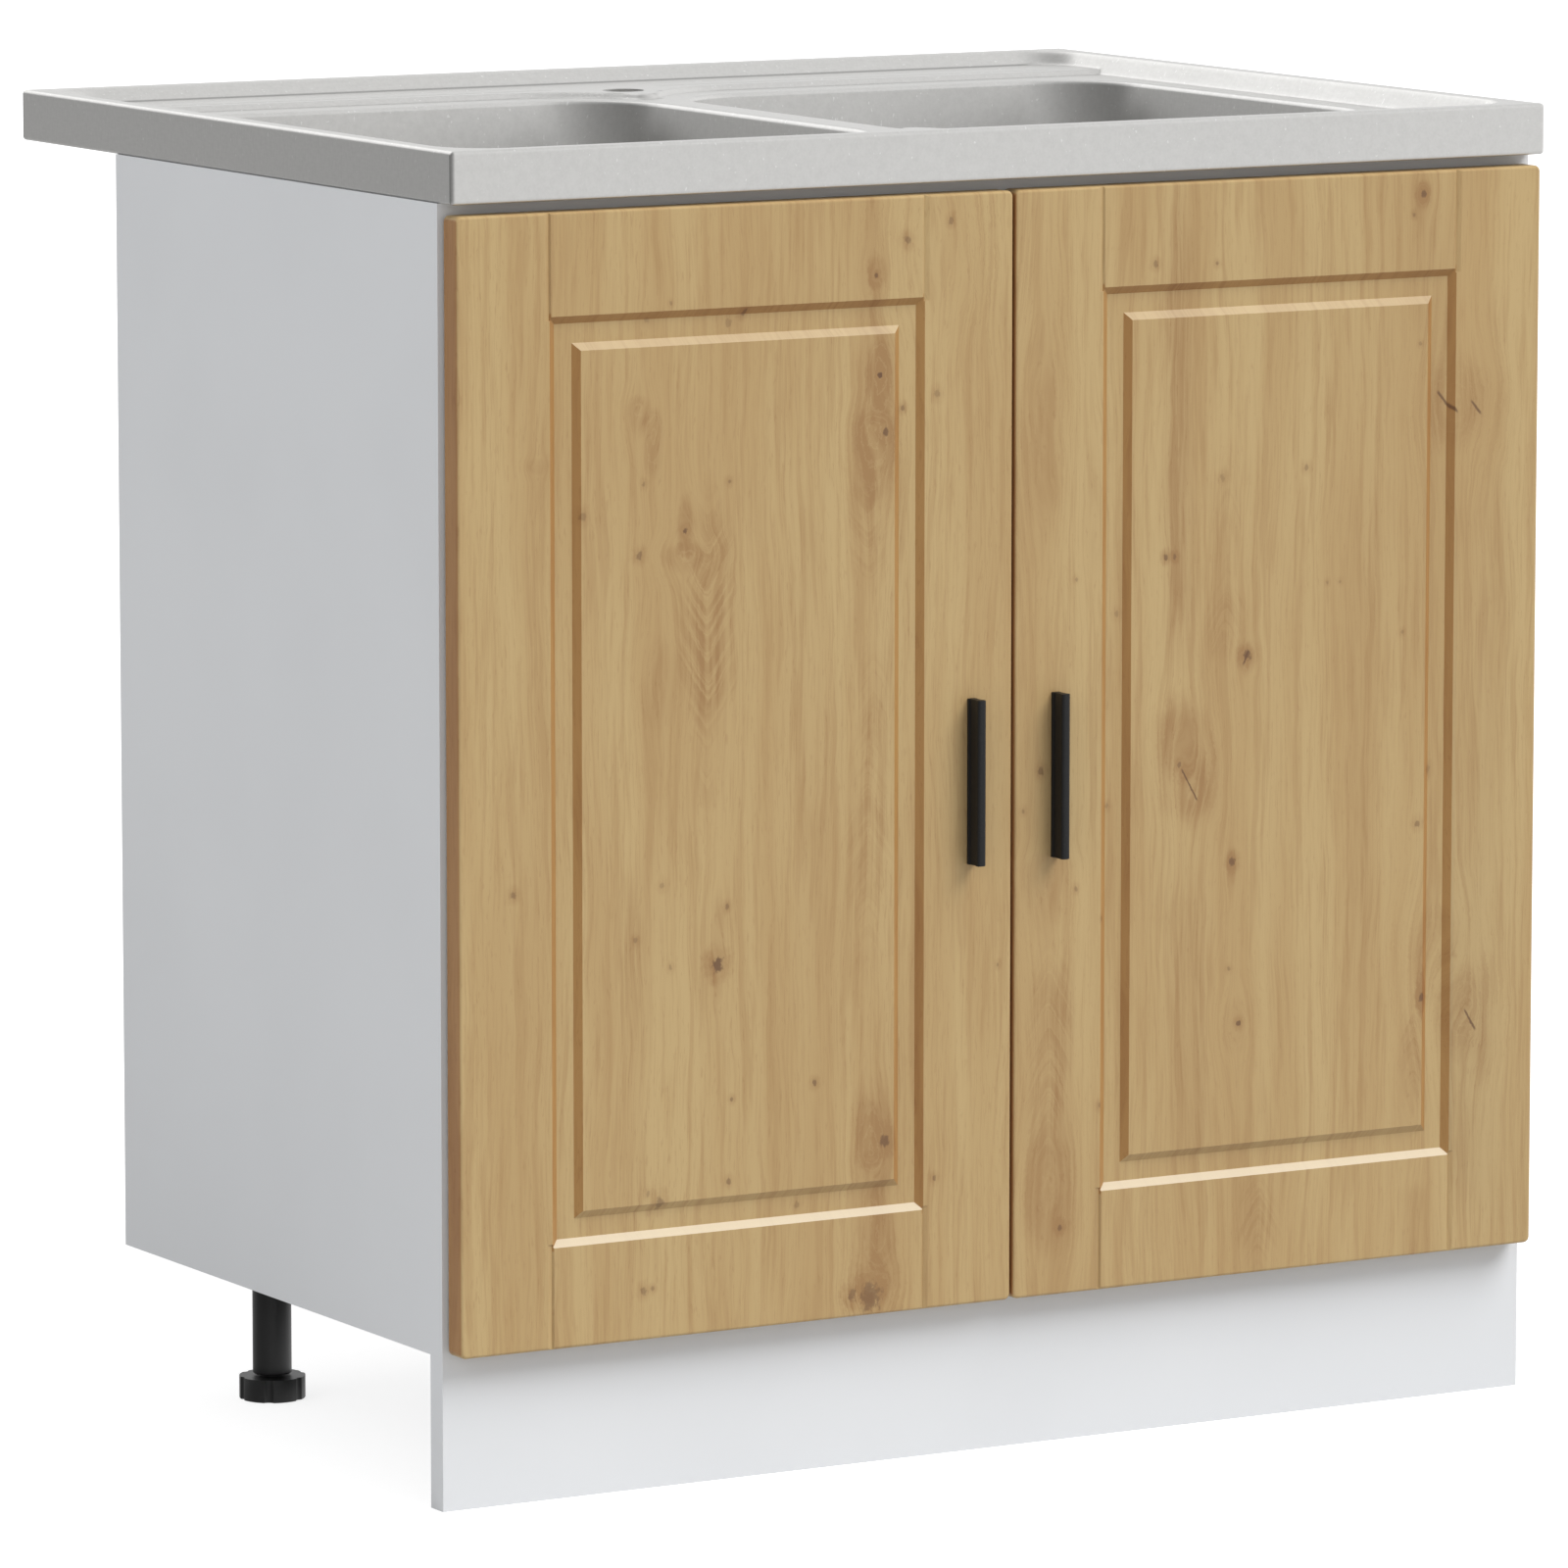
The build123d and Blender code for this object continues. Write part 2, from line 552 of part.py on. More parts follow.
# ---- doors: foil-wrapped boards, routed as a frame round a raised field --------------------
OPENING_WIDTH = DOOR_WIDTH - 2 * STILE_WIDTH
OPENING_HEIGHT = DOOR_HEIGHT - 2 * RAIL_WIDTH
ISLAND_INSET = 2 * FIELD_SLOPE + FIELD_FLOOR
GROOVE_X = DOOR_WIDTH / 2 - STILE_WIDTH
CUP_HOLE_RADIUS = CUP_RADIUS + FIT
CUP_SCREW_RADIUS = 1.6
CUP_SCREW_LENGTH = 11.0
HANDLE_HOLE_CLEARANCE = 0.6
HANDLE_SCREWS_Z = (HANDLE_Z - HANDLE_SCREW_SPACING / 2, HANDLE_Z + HANDLE_SCREW_SPACING / 2)


def door_face(side):
    """The door's front face, facing out: x_dir to the right, y_dir up."""
    return Plane(origin=(side * DOOR_X, DOOR_FRONT, DOOR_Z), x_dir=(1, 0, 0), z_dir=TO_FRONT)


def frustum(plane, depth, near_inset, far_inset):
    """A rectangular frustum sunk into the door, inset from the frame's opening."""
    near = rectangle(plane, OPENING_WIDTH - 2 * near_inset, OPENING_HEIGHT - 2 * near_inset)
    far_plane = plane.offset(-depth)
    far = rectangle(far_plane, OPENING_WIDTH - 2 * far_inset, OPENING_HEIGHT - 2 * far_inset)
    with BuildPart() as solid:
        loft([near, far], ruled=True)
    return solid.part


def cup_plane(side, z):
    """The back face of a door at a hinge cup: x_dir away from the hinge edge, facing back."""
    return Plane(origin=(side * CUP_X, DOOR_BACK, z), x_dir=(-side, 0, 0), z_dir=TO_BACK)


def cup_screw_planes(side, z):
    """The two screw places of a hinge cup on the back face of its door."""
    x = side * (CUP_X - CUP_SCREW_OFFSET)
    half = CUP_SCREW_SPACING / 2
    return [facing_back(x, DOOR_BACK, z + offset) for offset in (-half, half)]


for side_name, side in SIDES.items():
    face = door_face(side)
    with BuildPart() as door:
        extrude(rounded(face, DOOR_WIDTH, DOOR_HEIGHT, DOOR_CORNER_RADIUS), amount=-DOOR_THICKNESS)
        fillet(door.faces().sort_by(Axis.Y)[0].outer_wire().edges(), DOOR_EDGE_RADIUS)
        add(frustum(face, FIELD_DEPTH, 0, FIELD_SLOPE), mode=Mode.SUBTRACT)
        add(frustum(face, FIELD_DEPTH, ISLAND_INSET, ISLAND_INSET - FIELD_SLOPE))
        for edge_side in (-1, 1):
            for rail_side in (-1, 1):
                groove_plane = Plane(
                    origin=(
                        side * DOOR_X + edge_side * GROOVE_X,
                        DOOR_FRONT,
                        DOOR_Z + rail_side * DOOR_HEIGHT / 2,
                    ),
                    x_dir=(-edge_side, 0, 0),
                    z_dir=(0, 0, edge_side),
                )
                with BuildSketch(groove_plane) as groove:
                    with BuildLine():
                        Polyline(
                            (-JOINT_GROOVE_EASE, 0),
                            (0, -JOINT_GROOVE_DEPTH),
                            (JOINT_GROOVE_DEPTH, 0),
                            close=True,
                        )
                    make_face()
                run = -rail_side * edge_side * (RAIL_WIDTH + FIELD_SLOPE / 2)
                extrude(groove.sketch, amount=run, mode=Mode.SUBTRACT)
        for hinge_z in HINGE_LEVELS.values():
            drill(cup_plane(side, hinge_z), CUP_HOLE_RADIUS, CUP_DEPTH + FIT)
            for screw_mouth in cup_screw_planes(side, hinge_z):
                drill(screw_mouth, CUP_SCREW_RADIUS, CUP_SCREW_LENGTH)
        for screw_z in HANDLE_SCREWS_Z:
            screw_mouth = facing_back(side * HANDLE_X, DOOR_BACK, screw_z)
            drill(screw_mouth, HANDLE_SCREW_RADIUS + HANDLE_HOLE_CLEARANCE, DOOR_THICKNESS)
    save(door, f"{side_name}_door")

# ---- handles: a slim grooved bar on edge, held by two screws from inside the door ----------
HANDLE_HALF = HANDLE_WIDTH / 2
STEM_HALF = HANDLE_STEM / 2
HANDLE_BASE = 2.4
HANDLE_BEAD = 3.6
HANDLE_CROWN = 1.2
HANDLE_SHOULDER = 1.0
HANDLE_SCREW_GRIP = 9.0
HANDLE_SCREW_TIP_GAP = 1.0
HANDLE_SCREW_HEAD_RADIUS = 4.0
HANDLE_SCREW_HEAD_HEIGHT = 2.4
HANDLE_SCREW_SLOT_LENGTH = 4.4
HANDLE_SCREW_SLOT_WIDTH = 1.0
HANDLE_SCREW_SLOT_DEPTH = 1.2

for side_name, side in SIDES.items():
    with BuildPart() as handle:
        section_plane = Plane(
            origin=(side * HANDLE_X, DOOR_FRONT, HANDLE_Z - HANDLE_LENGTH / 2)
        )
        bead_start = HANDLE_BEAD - HANDLE_REACH
        with BuildSketch(section_plane) as section:
            with BuildLine():
                foot_line = Polyline((0, 0), (HANDLE_HALF, 0), (HANDLE_HALF, -HANDLE_BASE))
                side_line = Polyline(
                    foot_line @ 1,
                    (STEM_HALF, -HANDLE_BASE - HANDLE_SHOULDER),
                    (STEM_HALF, bead_start + HANDLE_SHOULDER),
                    (HANDLE_HALF, bead_start),
                    (HANDLE_HALF, HANDLE_CROWN - HANDLE_REACH),
                )
                TangentArc((0, -HANDLE_REACH), side_line @ 1, tangent=(1, 0))
                mirror(about=Plane.YZ)
            make_face()
        extrude(section.sketch, amount=HANDLE_LENGTH)
        for screw_z in HANDLE_SCREWS_Z:
            screw_mouth = facing_back(side * HANDLE_X, DOOR_FRONT, screw_z)
            drill(screw_mouth, HANDLE_SCREW_RADIUS + FIT, HANDLE_SCREW_GRIP)
    save(handle, f"{side_name}_handle")

    with BuildPart() as handle_screws:
        for screw_z in HANDLE_SCREWS_Z:
            seat = facing_back(side * HANDLE_X, DOOR_BACK, screw_z)
            extrude(disc(seat, HANDLE_SCREW_HEAD_RADIUS), amount=HANDLE_SCREW_HEAD_HEIGHT)
            shank_length = DOOR_THICKNESS + HANDLE_SCREW_GRIP - HANDLE_SCREW_TIP_GAP
            extrude(disc(seat, HANDLE_SCREW_RADIUS), amount=-shank_length)
            head_top = seat.offset(HANDLE_SCREW_HEAD_HEIGHT)
            slot = rectangle(head_top, HANDLE_SCREW_SLOT_LENGTH, HANDLE_SCREW_SLOT_WIDTH)
            extrude(slot, amount=-HANDLE_SCREW_SLOT_DEPTH, mode=Mode.SUBTRACT)
    save(handle_screws, f"{side_name}_handle_screws")

# ---- concealed hinges: a cup in the door, a link, a cranked arm and a mounting plate --------
# Each hinge is drawn about the door's turning axis: local x runs from the axis away from the
# hinge edge, local y runs to the back. The arm's crank stays outside the circle that the
# door's inner corner sweeps, and the link swings between the arm's pin and the cup's pin.
PANEL_FACE = PIVOT_X - INNER_X
CARCASS_FACE = PIVOT_DEPTH + DOOR_GAP
CRANK_INNER = ARM_PIVOT_REACH - ARM_THICKNESS / 2
CRANK_OUTER = ARM_PIVOT_REACH + ARM_THICKNESS / 2
CRANK_END_ANGLE = 40.0
ARM_EYE_RADIUS = 2.6
ARM_PIN_RADIUS = 0.9
ARM_BODY_START = 20.0
ARM_BODY_END = 78.0
ARM_BODY_HALF = 9.0
ARM_CHEEK = 1.3
ARM_PLATE_GAP = 0.2
ARM_STRIP_OVERLAP = 4.0
CUP_PIN_RADIUS = 0.8
CUP_PIN_HALF_LENGTH = 12.3
LINK_EYE_RADIUS = 2.2
LINK_OPEN_EYE_RADIUS = 2.9
LINK_OPEN_EYE_BORE = 1.75
LINK_SLOT_HALF = 2.5
LINK_BAR = 2.6
PLATE_THICKNESS = 1.5
PLATE_WIDTH = 15.0
PLATE_HEIGHT = 50.0
PLATE_CORNER = 5.0
PLATE_RIDGE = 2.5
PLATE_RIDGE_LENGTH = 48.0
PLATE_RIDGE_SHIFT = 2.0
PLATE_RIDGE_CORNER = 2.0
PLATE_RIDGE_GAP = 0.2
CUP_FLANGE_RADIUS = 18.2
CUP_EAR_RADIUS = 6.5
CUP_SCREW_HEAD_RADIUS = 3.2
CUP_SCREW_HEAD_HEIGHT = 0.7
CUP_PIN_X = LINK_PIN_REACH * cos(radians(LINK_PIN_ANGLE))
CUP_PIN_Y = LINK_PIN_REACH * sin(radians(LINK_PIN_ANGLE))
ARM_SCREW_PLACES = (24.0, 48.0)
ARM_SCREW_RADIUS = 2.0
ARM_SCREW_HEAD_RADIUS = 3.4
ARM_SCREW_HEAD_HEIGHT = 1.5
ARM_SCREW_SLOT_LENGTH = 5.0
ARM_SCREW_SLOT_WIDTH = 1.0
ARM_SCREW_SLOT_DEPTH = 0.8
STRIP_INNER = CRANK_INNER * cos(radians(CRANK_END_ANGLE))
STRIP_OUTER = STRIP_INNER + ARM_THICKNESS


def hinge_plane(side, z):
    """The turning axis of a door at a hinge: x_dir away from the edge, y_dir to the back."""
    return Plane(origin=(side * PIVOT_X, PIVOT_Y, z), x_dir=(-side, 0, 0), z_dir=(0, 0, -side))


def hinge_pin(side, z, x, y, radius, half_length):
    """A round pin parallel to the turning axis."""
    plane = hinge_plane(side, z)
    with BuildSketch(plane) as section:
        with Locations((x, y)):
            Circle(radius)
    extrude(section.sketch, amount=half_length, both=True)


for side_name, side in SIDES.items():
    for level, hinge_z in HINGE_LEVELS.items():
        with BuildPart() as hinge_cup:
            mouth = cup_plane(side, hinge_z)
            extrude(disc(mouth, CUP_RADIUS), amount=-CUP_DEPTH)
            with BuildSketch(mouth) as flange:
                Circle(CUP_FLANGE_RADIUS)
                with Locations((CUP_SCREW_OFFSET, 0)):
                    SlotCenterToCenter(CUP_SCREW_SPACING, 2 * CUP_EAR_RADIUS, rotation=90)
            extrude(flange.sketch, amount=CUP_FLANGE)
            cavity = disc(mouth.offset(CUP_FLANGE), CUP_RADIUS - CUP_WALL)
            extrude(cavity, amount=-CUP_DEPTH - CUP_FLANGE + CUP_WALL, mode=Mode.SUBTRACT)
            for screw_mouth in cup_screw_planes(side, hinge_z):
                hole = disc(screw_mouth.offset(CUP_FLANGE), CUP_SCREW_RADIUS + FIT)
                extrude(hole, amount=-CUP_FLANGE, mode=Mode.SUBTRACT)
            hinge_pin(side, hinge_z, CUP_PIN_X, CUP_PIN_Y, CUP_PIN_RADIUS, CUP_PIN_HALF_LENGTH)
        save(hinge_cup, f"{side_name}_{level}_hinge_cup")

        with BuildPart() as hinge_link:
            # drawn from the arm's pin towards the cup's pin, at the angle of the closed door
            lean = Vector(CUP_PIN_X - ARM_PIVOT_REACH, CUP_PIN_Y, 0)
            arm_pin = hinge_plane(side, hinge_z)
            arm_pin_origin = arm_pin.from_local_coords(Vector(ARM_PIVOT_REACH, 0, 0))
            along = arm_pin.x_dir * lean.X + arm_pin.y_dir * lean.Y
            link_plane = Plane(origin=arm_pin_origin, x_dir=along, z_dir=arm_pin.z_dir)
            with BuildSketch(link_plane) as link_outline:
                Circle(LINK_EYE_RADIUS)
                with Locations((LINK_LENGTH / 2, 0)):
                    Rectangle(LINK_LENGTH, LINK_BAR)
                with Locations((LINK_LENGTH, 0)):
                    Circle(LINK_OPEN_EYE_RADIUS)
                    Circle(LINK_OPEN_EYE_BORE, mode=Mode.SUBTRACT)
                Circle(ARM_PIN_RADIUS + FIT, mode=Mode.SUBTRACT)
            extrude(link_outline.sketch, amount=LINK_HALF_WIDTH, both=True)
        save(hinge_link, f"{side_name}_{level}_hinge_link")

        with BuildPart() as hinge_arm:
            plane = hinge_plane(side, hinge_z)
            crank_end_y = CRANK_OUTER * sin(radians(CRANK_END_ANGLE))
            strip_end_y = ARM_BODY_START + ARM_STRIP_OVERLAP
            with BuildSketch(plane) as crank:
                with BuildLine():
                    inner_arc = CenterArc((0, 0), CRANK_INNER, 0, CRANK_END_ANGLE)
                    outer_arc = CenterArc((0, 0), CRANK_OUTER, 0, CRANK_END_ANGLE)
                    Line(inner_arc @ 0, outer_arc @ 0)
                    Polyline(
                        inner_arc @ 1,
                        (STRIP_INNER, strip_end_y),
                        (STRIP_OUTER, strip_end_y),
                        (STRIP_OUTER, crank_end_y + 1),
                        outer_arc @ 1,
                    )
                make_face()
                with Locations((ARM_PIVOT_REACH, 0)):
                    Circle(ARM_EYE_RADIUS)
            extrude(crank.sketch, amount=ARM_HALF_WIDTH, both=True)
            with BuildSketch(plane) as link_slot:
                with Locations((CRANK_INNER, 0)):
                    Rectangle(4 * ARM_EYE_RADIUS, 3 * ARM_EYE_RADIUS)
            extrude(link_slot.sketch, amount=LINK_SLOT_HALF, both=True, mode=Mode.SUBTRACT)
            hinge_pin(side, hinge_z, ARM_PIVOT_REACH, 0, ARM_PIN_RADIUS, ARM_HALF_WIDTH)
            body_middle = (ARM_BODY_START + ARM_BODY_END) / 2
            body_length = ARM_BODY_END - ARM_BODY_START
            cheek_inner = PANEL_FACE + PLATE_THICKNESS + ARM_PLATE_GAP
            with BuildSketch(plane) as arm_body:
                with Locations(((cheek_inner + STRIP_OUTER) / 2, body_middle)):
                    Rectangle(STRIP_OUTER - cheek_inner, body_length)
            extrude(arm_body.sketch, amount=ARM_BODY_HALF, both=True)
            with BuildSketch(plane) as channel:
                with Locations(((cheek_inner + STRIP_INNER) / 2 - 1, body_middle)):
                    Rectangle(STRIP_INNER - cheek_inner + 2, body_length + 2)
            channel_half = ARM_BODY_HALF - ARM_CHEEK
            extrude(channel.sketch, amount=channel_half, both=True, mode=Mode.SUBTRACT)
            top_face = Plane(
                origin=plane.from_local_coords(Vector(STRIP_OUTER, CARCASS_FACE, 0)),
                x_dir=TO_BACK,
                z_dir=(-side, 0, 0),
            )
            with BuildSketch(top_face) as arm_holes:
                with Locations(*[(place, 0) for place in ARM_SCREW_PLACES]):
                    Circle(ARM_SCREW_RADIUS + FIT)
            extrude(arm_holes.sketch, amount=-ARM_THICKNESS - 1, mode=Mode.SUBTRACT)
        save(hinge_arm, f"{side_name}_{level}_hinge_arm")

        with BuildPart() as hinge_plate:
            panel = plate_plane(side, hinge_z)
            wings = rounded(panel, PLATE_WIDTH, PLATE_HEIGHT, PLATE_CORNER)
            extrude(wings, amount=PLATE_THICKNESS)
            ridge_half = ARM_BODY_HALF - ARM_CHEEK - PLATE_RIDGE_GAP
            with BuildSketch(panel) as ridge:
                with Locations((PLATE_RIDGE_SHIFT, 0)):
                    RectangleRounded(PLATE_RIDGE_LENGTH, 2 * ridge_half, PLATE_RIDGE_CORNER)
            extrude(ridge.sketch, amount=PLATE_RIDGE)
            with BuildSketch(panel) as plate_holes:
                with GridLocations(0, PLATE_SCREW_SPACING, 1, 2):
                    Circle(PLATE_SCREW_HOLE_RADIUS + FIT)
                with Locations(*[(place - PLATE_SETBACK, 0) for place in ARM_SCREW_PLACES]):
                    Circle(ARM_SCREW_RADIUS + FIT)
            extrude(plate_holes.sketch, amount=PLATE_RIDGE, mode=Mode.SUBTRACT)
        save(hinge_plate, f"{side_name}_{level}_hinge_plate")

    with BuildPart() as hinge_cup_screws:
        for hinge_z in HINGE_LEVELS.values():
            for screw_mouth in cup_screw_planes(side, hinge_z):
                seat = screw_mouth.offset(CUP_FLANGE)
                extrude(disc(seat, CUP_SCREW_HEAD_RADIUS), amount=CUP_SCREW_HEAD_HEIGHT)
                extrude(disc(seat, CUP_SCREW_RADIUS), amount=-CUP_SCREW_LENGTH - CUP_FLANGE + FIT)
    save(hinge_cup_screws, f"{side_name}_hinge_cup_screws")

with BuildPart() as hinge_plate_screws:
    for side in SIDES.values():
        for hinge_z in HINGE_LEVELS.values():
            for offset in (-PLATE_SCREW_SPACING / 2, PLATE_SCREW_SPACING / 2):
                seat = plate_plane(side, hinge_z + offset).offset(PLATE_THICKNESS)
                wood_screw(seat, PLATE_SCREW_HOLE_RADIUS, PLATE_SCREW_LENGTH + PLATE_THICKNESS)
save(hinge_plate_screws, "hinge_plate_screws")

with BuildPart() as hinge_adjusting_screws:
    for side in SIDES.values():
        for hinge_z in HINGE_LEVELS.values():
            for place in ARM_SCREW_PLACES:
                seat = Plane(
                    origin=(side * (PIVOT_X - STRIP_OUTER), FRONT + place, hinge_z),
                    z_dir=(-side, 0, 0),
                )
                grip = STRIP_OUTER - PANEL_FACE - FIT
                extrude(disc(seat, ARM_SCREW_HEAD_RADIUS), amount=ARM_SCREW_HEAD_HEIGHT)
                extrude(disc(seat, ARM_SCREW_RADIUS), amount=-grip)
                head_top = seat.offset(ARM_SCREW_HEAD_HEIGHT)
                slot = rectangle(head_top, ARM_SCREW_SLOT_LENGTH, ARM_SCREW_SLOT_WIDTH)
                extrude(slot, amount=-ARM_SCREW_SLOT_DEPTH, mode=Mode.SUBTRACT)
save(hinge_adjusting_screws, "hinge_adjusting_screws")


# ---- sink deck: folded apron, pressed rim, two ledges, tap platform and drain grooves -------
RIM_HALF_X = HALF_WIDTH - RIM
RIM_HALF_Y = SINK_DEPTH / 2 - RIM
FOOT_HALF_X = RIM_HALF_X - SIDE_WALL_RUN
FOOT_HALF_Y = RIM_HALF_Y - END_WALL_RUN
WALL_SLOPE = END_WALL_RUN / LAND_DROP
LEDGE_BACK = RIM_HALF_Y - LEDGE_DROP * WALL_SLOPE + SHEET
TONGUE_REACH = TONGUE_EDGE + SHOULDER_RADIUS - LEDGE_EDGE
TONGUE_TIP_RADIUS = (SHOULDER_X**2 + TONGUE_REACH**2 - SHOULDER_RADIUS**2) / (
    2 * (SHOULDER_RADIUS - TONGUE_REACH)
)
CORNER_SEAM = 0.8
CORNER_SEAM_INSET = 2.4
CORNER_SEAM_DEPTH = 1.2


def sink_plane(z):
    """A level plane of the sink, centred on its outline."""
    return Plane(origin=(0, SINK_Y, z))


def tray(grow):
    """The sunk space inside the rim, from the rim's top to the land, widened by grow."""
    top = rounded(
        sink_plane(RIM_Z),
        2 * (RIM_HALF_X + grow),
        2 * (RIM_HALF_Y + grow),
        RIM_CORNER_RADIUS + grow,
    )
    foot = rounded(
        sink_plane(LAND_Z - grow),
        2 * (FOOT_HALF_X + grow),
        2 * (FOOT_HALF_Y + grow),
        RIM_CORNER_RADIUS - SIDE_WALL_RUN + grow,
    )
    with BuildPart() as space:
        loft([top, foot], ruled=True)
    return space.part


def ledge_outline(z, run, side):
    """The ledge's outline, grown towards the bowls by run: side +1 is the back, -1 the front.

    Its edge comes in from the wall, bends round the bowl's corner on a wide arc and meets the
    small arc of a tongue's tip, tangent to it, in the gap between the bowls. The tap stands
    behind the tip.
    """
    edge = LEDGE_EDGE - run
    shoulder_middle = Vector(SHOULDER_X, LEDGE_EDGE - SHOULDER_RADIUS)
    tip_middle = Vector(0, TONGUE_EDGE + TONGUE_TIP_RADIUS)
    towards_tip = (tip_middle - shoulder_middle).normalized()
    meeting = shoulder_middle + towards_tip * (SHOULDER_RADIUS - run)
    plane = Plane(origin=(0, SINK_Y, z), x_dir=(side, 0, 0), z_dir=UP)
    with BuildSketch(plane) as outline:
        with BuildLine():
            straight = Polyline((0, LEDGE_BACK), (FOOT_HALF_X, LEDGE_BACK), (FOOT_HALF_X, edge))
            shoulder_line = Line(straight @ 1, (SHOULDER_X, edge))
            shoulder_arc = TangentArc(shoulder_line @ 1, (meeting.X, meeting.Y), tangent=(-1, 0))
            TangentArc((0, TONGUE_EDGE - run), shoulder_arc @ 1, tangent=(1, 0))
            mirror(about=Plane.YZ)
        make_face()
    return outline.sketch


def ledge(side, drop):
    """A raised ledge with a sloping edge, lowered by drop to make its hollow underside."""
    foot = ledge_outline(LAND_Z - drop, LEDGE_STEP_RUN, side)
    top = ledge_outline(LEDGE_Z - drop, 0, side)
    with BuildPart() as raised:
        loft([foot, top], ruled=True)
    return raised.part


def drain_grooves(grow):
    """The long round-ended grooves pressed into the back ledge, widened by grow."""
    length = DRAIN_GROOVE_END - DRAIN_GROOVE_START - DRAIN_GROOVE_WIDTH
    middle = (DRAIN_GROOVE_START + DRAIN_GROOVE_END) / 2
    with BuildSketch(sink_plane(LEDGE_Z - grow)) as grooves:
        for row in DRAIN_GROOVE_ROWS:
            with Locations((-middle, row), (middle, row)):
                SlotCenterToCenter(length, DRAIN_GROOVE_WIDTH + 2 * grow)
    return grooves.sketch


def bowl_outline(z, side, grow, inset):
    """A bowl's outline at height z, widened by grow and drawn in by inset."""
    plane = Plane(origin=(side * BOWL_X, SINK_Y, z))
    change = 2 * (grow - inset)
    radius = BOWL_CORNER_RADIUS + grow - inset
    return rounded(plane, BOWL_WIDTH + change, BOWL_LENGTH + change, radius)


with BuildPart() as sink_deck:
    extrude(rectangle(sink_plane(CARCASS_TOP), WIDTH, SINK_DEPTH), amount=APRON)
    fillet(sink_deck.edges().filter_by(Axis.Z), APRON_EDGE_RADIUS)
    fillet(sink_deck.faces().sort_by(Axis.Z)[-1].outer_wire().edges(), APRON_EDGE_RADIUS)
    fillet(sink_deck.faces().sort_by(Axis.Z)[0].outer_wire().edges(), APRON_EDGE_RADIUS)
    hollow = rounded(
        sink_plane(CARCASS_TOP + SHEET),
        WIDTH - 2 * SHEET,
        SINK_DEPTH - 2 * SHEET,
        APRON_EDGE_RADIUS - SHEET,
    )
    extrude(hollow, amount=APRON - 2 * SHEET, mode=Mode.SUBTRACT)
    underside = rectangle(
        sink_plane(CARCASS_TOP), WIDTH - 2 * RETURN_LIP, SINK_DEPTH - 2 * RETURN_LIP
    )
    extrude(underside, amount=SHEET, mode=Mode.SUBTRACT)
    add(tray(SHEET))
    add(tray(0), mode=Mode.SUBTRACT)
    for ledge_side in (-1, 1):
        add(ledge(ledge_side, 0))
        add(ledge(ledge_side, SHEET), mode=Mode.SUBTRACT)
    extrude(drain_grooves(SHEET), amount=-DRAIN_GROOVE_DEPTH)
    extrude(drain_grooves(0), amount=-DRAIN_GROOVE_DEPTH, mode=Mode.SUBTRACT)
    for side in SIDES.values():
        opening = bowl_outline(LAND_Z, side, BOWL_LIP_RADIUS, 0)
        extrude(opening, amount=-2 * SHEET, mode=Mode.SUBTRACT)
    tap_hole = disc(Plane(origin=(0, SINK_Y + TAP_HOLE_Y, LEDGE_Z)), TAP_HOLE_RADIUS)
    extrude(tap_hole, amount=-2 * SHEET, mode=Mode.SUBTRACT)
    seam_height = APRON - 2 * APRON_EDGE_RADIUS
    seam_y = SINK_DEPTH / 2 - CORNER_SEAM_INSET
    with Locations(Location((0, SINK_Y, CARCASS_TOP + APRON / 2))):
        with GridLocations(WIDTH, 2 * seam_y, 2, 2):
            Box(2 * CORNER_SEAM_DEPTH, CORNER_SEAM, seam_height, mode=Mode.SUBTRACT)
save(sink_deck, "sink_deck")


# ---- bowls: deep drawn, flared into the land, with a dished waste hole ----------------------
def bowl_space(side, grow):
    """The air in a bowl, and above its land, widened by grow for the outside of the sheet."""
    rim = bowl_outline(LAND_Z, side, grow, 0)
    floor_face = bowl_outline(BOWL_FLOOR_Z - grow, side, grow, BOWL_DRAFT)
    with BuildPart() as space:
        loft([floor_face, rim], ruled=True)
        fillet(space.faces().sort_by(Axis.Z)[0].outer_wire().edges(), BOWL_FLOOR_RADIUS + grow)
        dish_plane = Plane(origin=(side * BOWL_X, SINK_Y, BOWL_FLOOR_Z - grow + 1))
        dish_depth = WASTE_DISH_DEPTH + 1
        extrude(disc(dish_plane, WASTE_DISH_RADIUS + grow), amount=-dish_depth)
        land = Plane(origin=(side * BOWL_X, SINK_Y, LAND_Z - grow))
        above_land = rectangle(land, 2 * BOWL_WIDTH, 2 * BOWL_LENGTH)
        extrude(above_land, amount=BOWL_LIP_RADIUS)
        mouth = [
            edge
            for edge in space.edges()
            if abs(edge.center().Z - land.origin.Z) < 0.01
            and abs(edge.center().X - side * BOWL_X) < 0.75 * BOWL_WIDTH
            and abs(edge.center().Y - SINK_Y) < 0.75 * BOWL_LENGTH
        ]
        fillet(mouth, BOWL_LIP_RADIUS - grow)
    return space.part


for side_name, side in SIDES.items():
    with BuildPart() as bowl:
        add(bowl_space(side, SHEET))
        add(bowl_space(side, 0), mode=Mode.SUBTRACT)
        lip_edge = bowl_outline(LAND_Z, side, BOWL_LIP_RADIUS, 0)
        extrude(lip_edge, amount=-SINK_HEIGHT, mode=Mode.INTERSECT)
        waste_plane = Plane(origin=(side * BOWL_X, SINK_Y, BOWL_FLOOR_Z))
        drill(waste_plane, WASTE_HOLE_RADIUS, WASTE_DISH_DEPTH + 3 * SHEET)
    save(bowl, f"{side_name}_bowl")

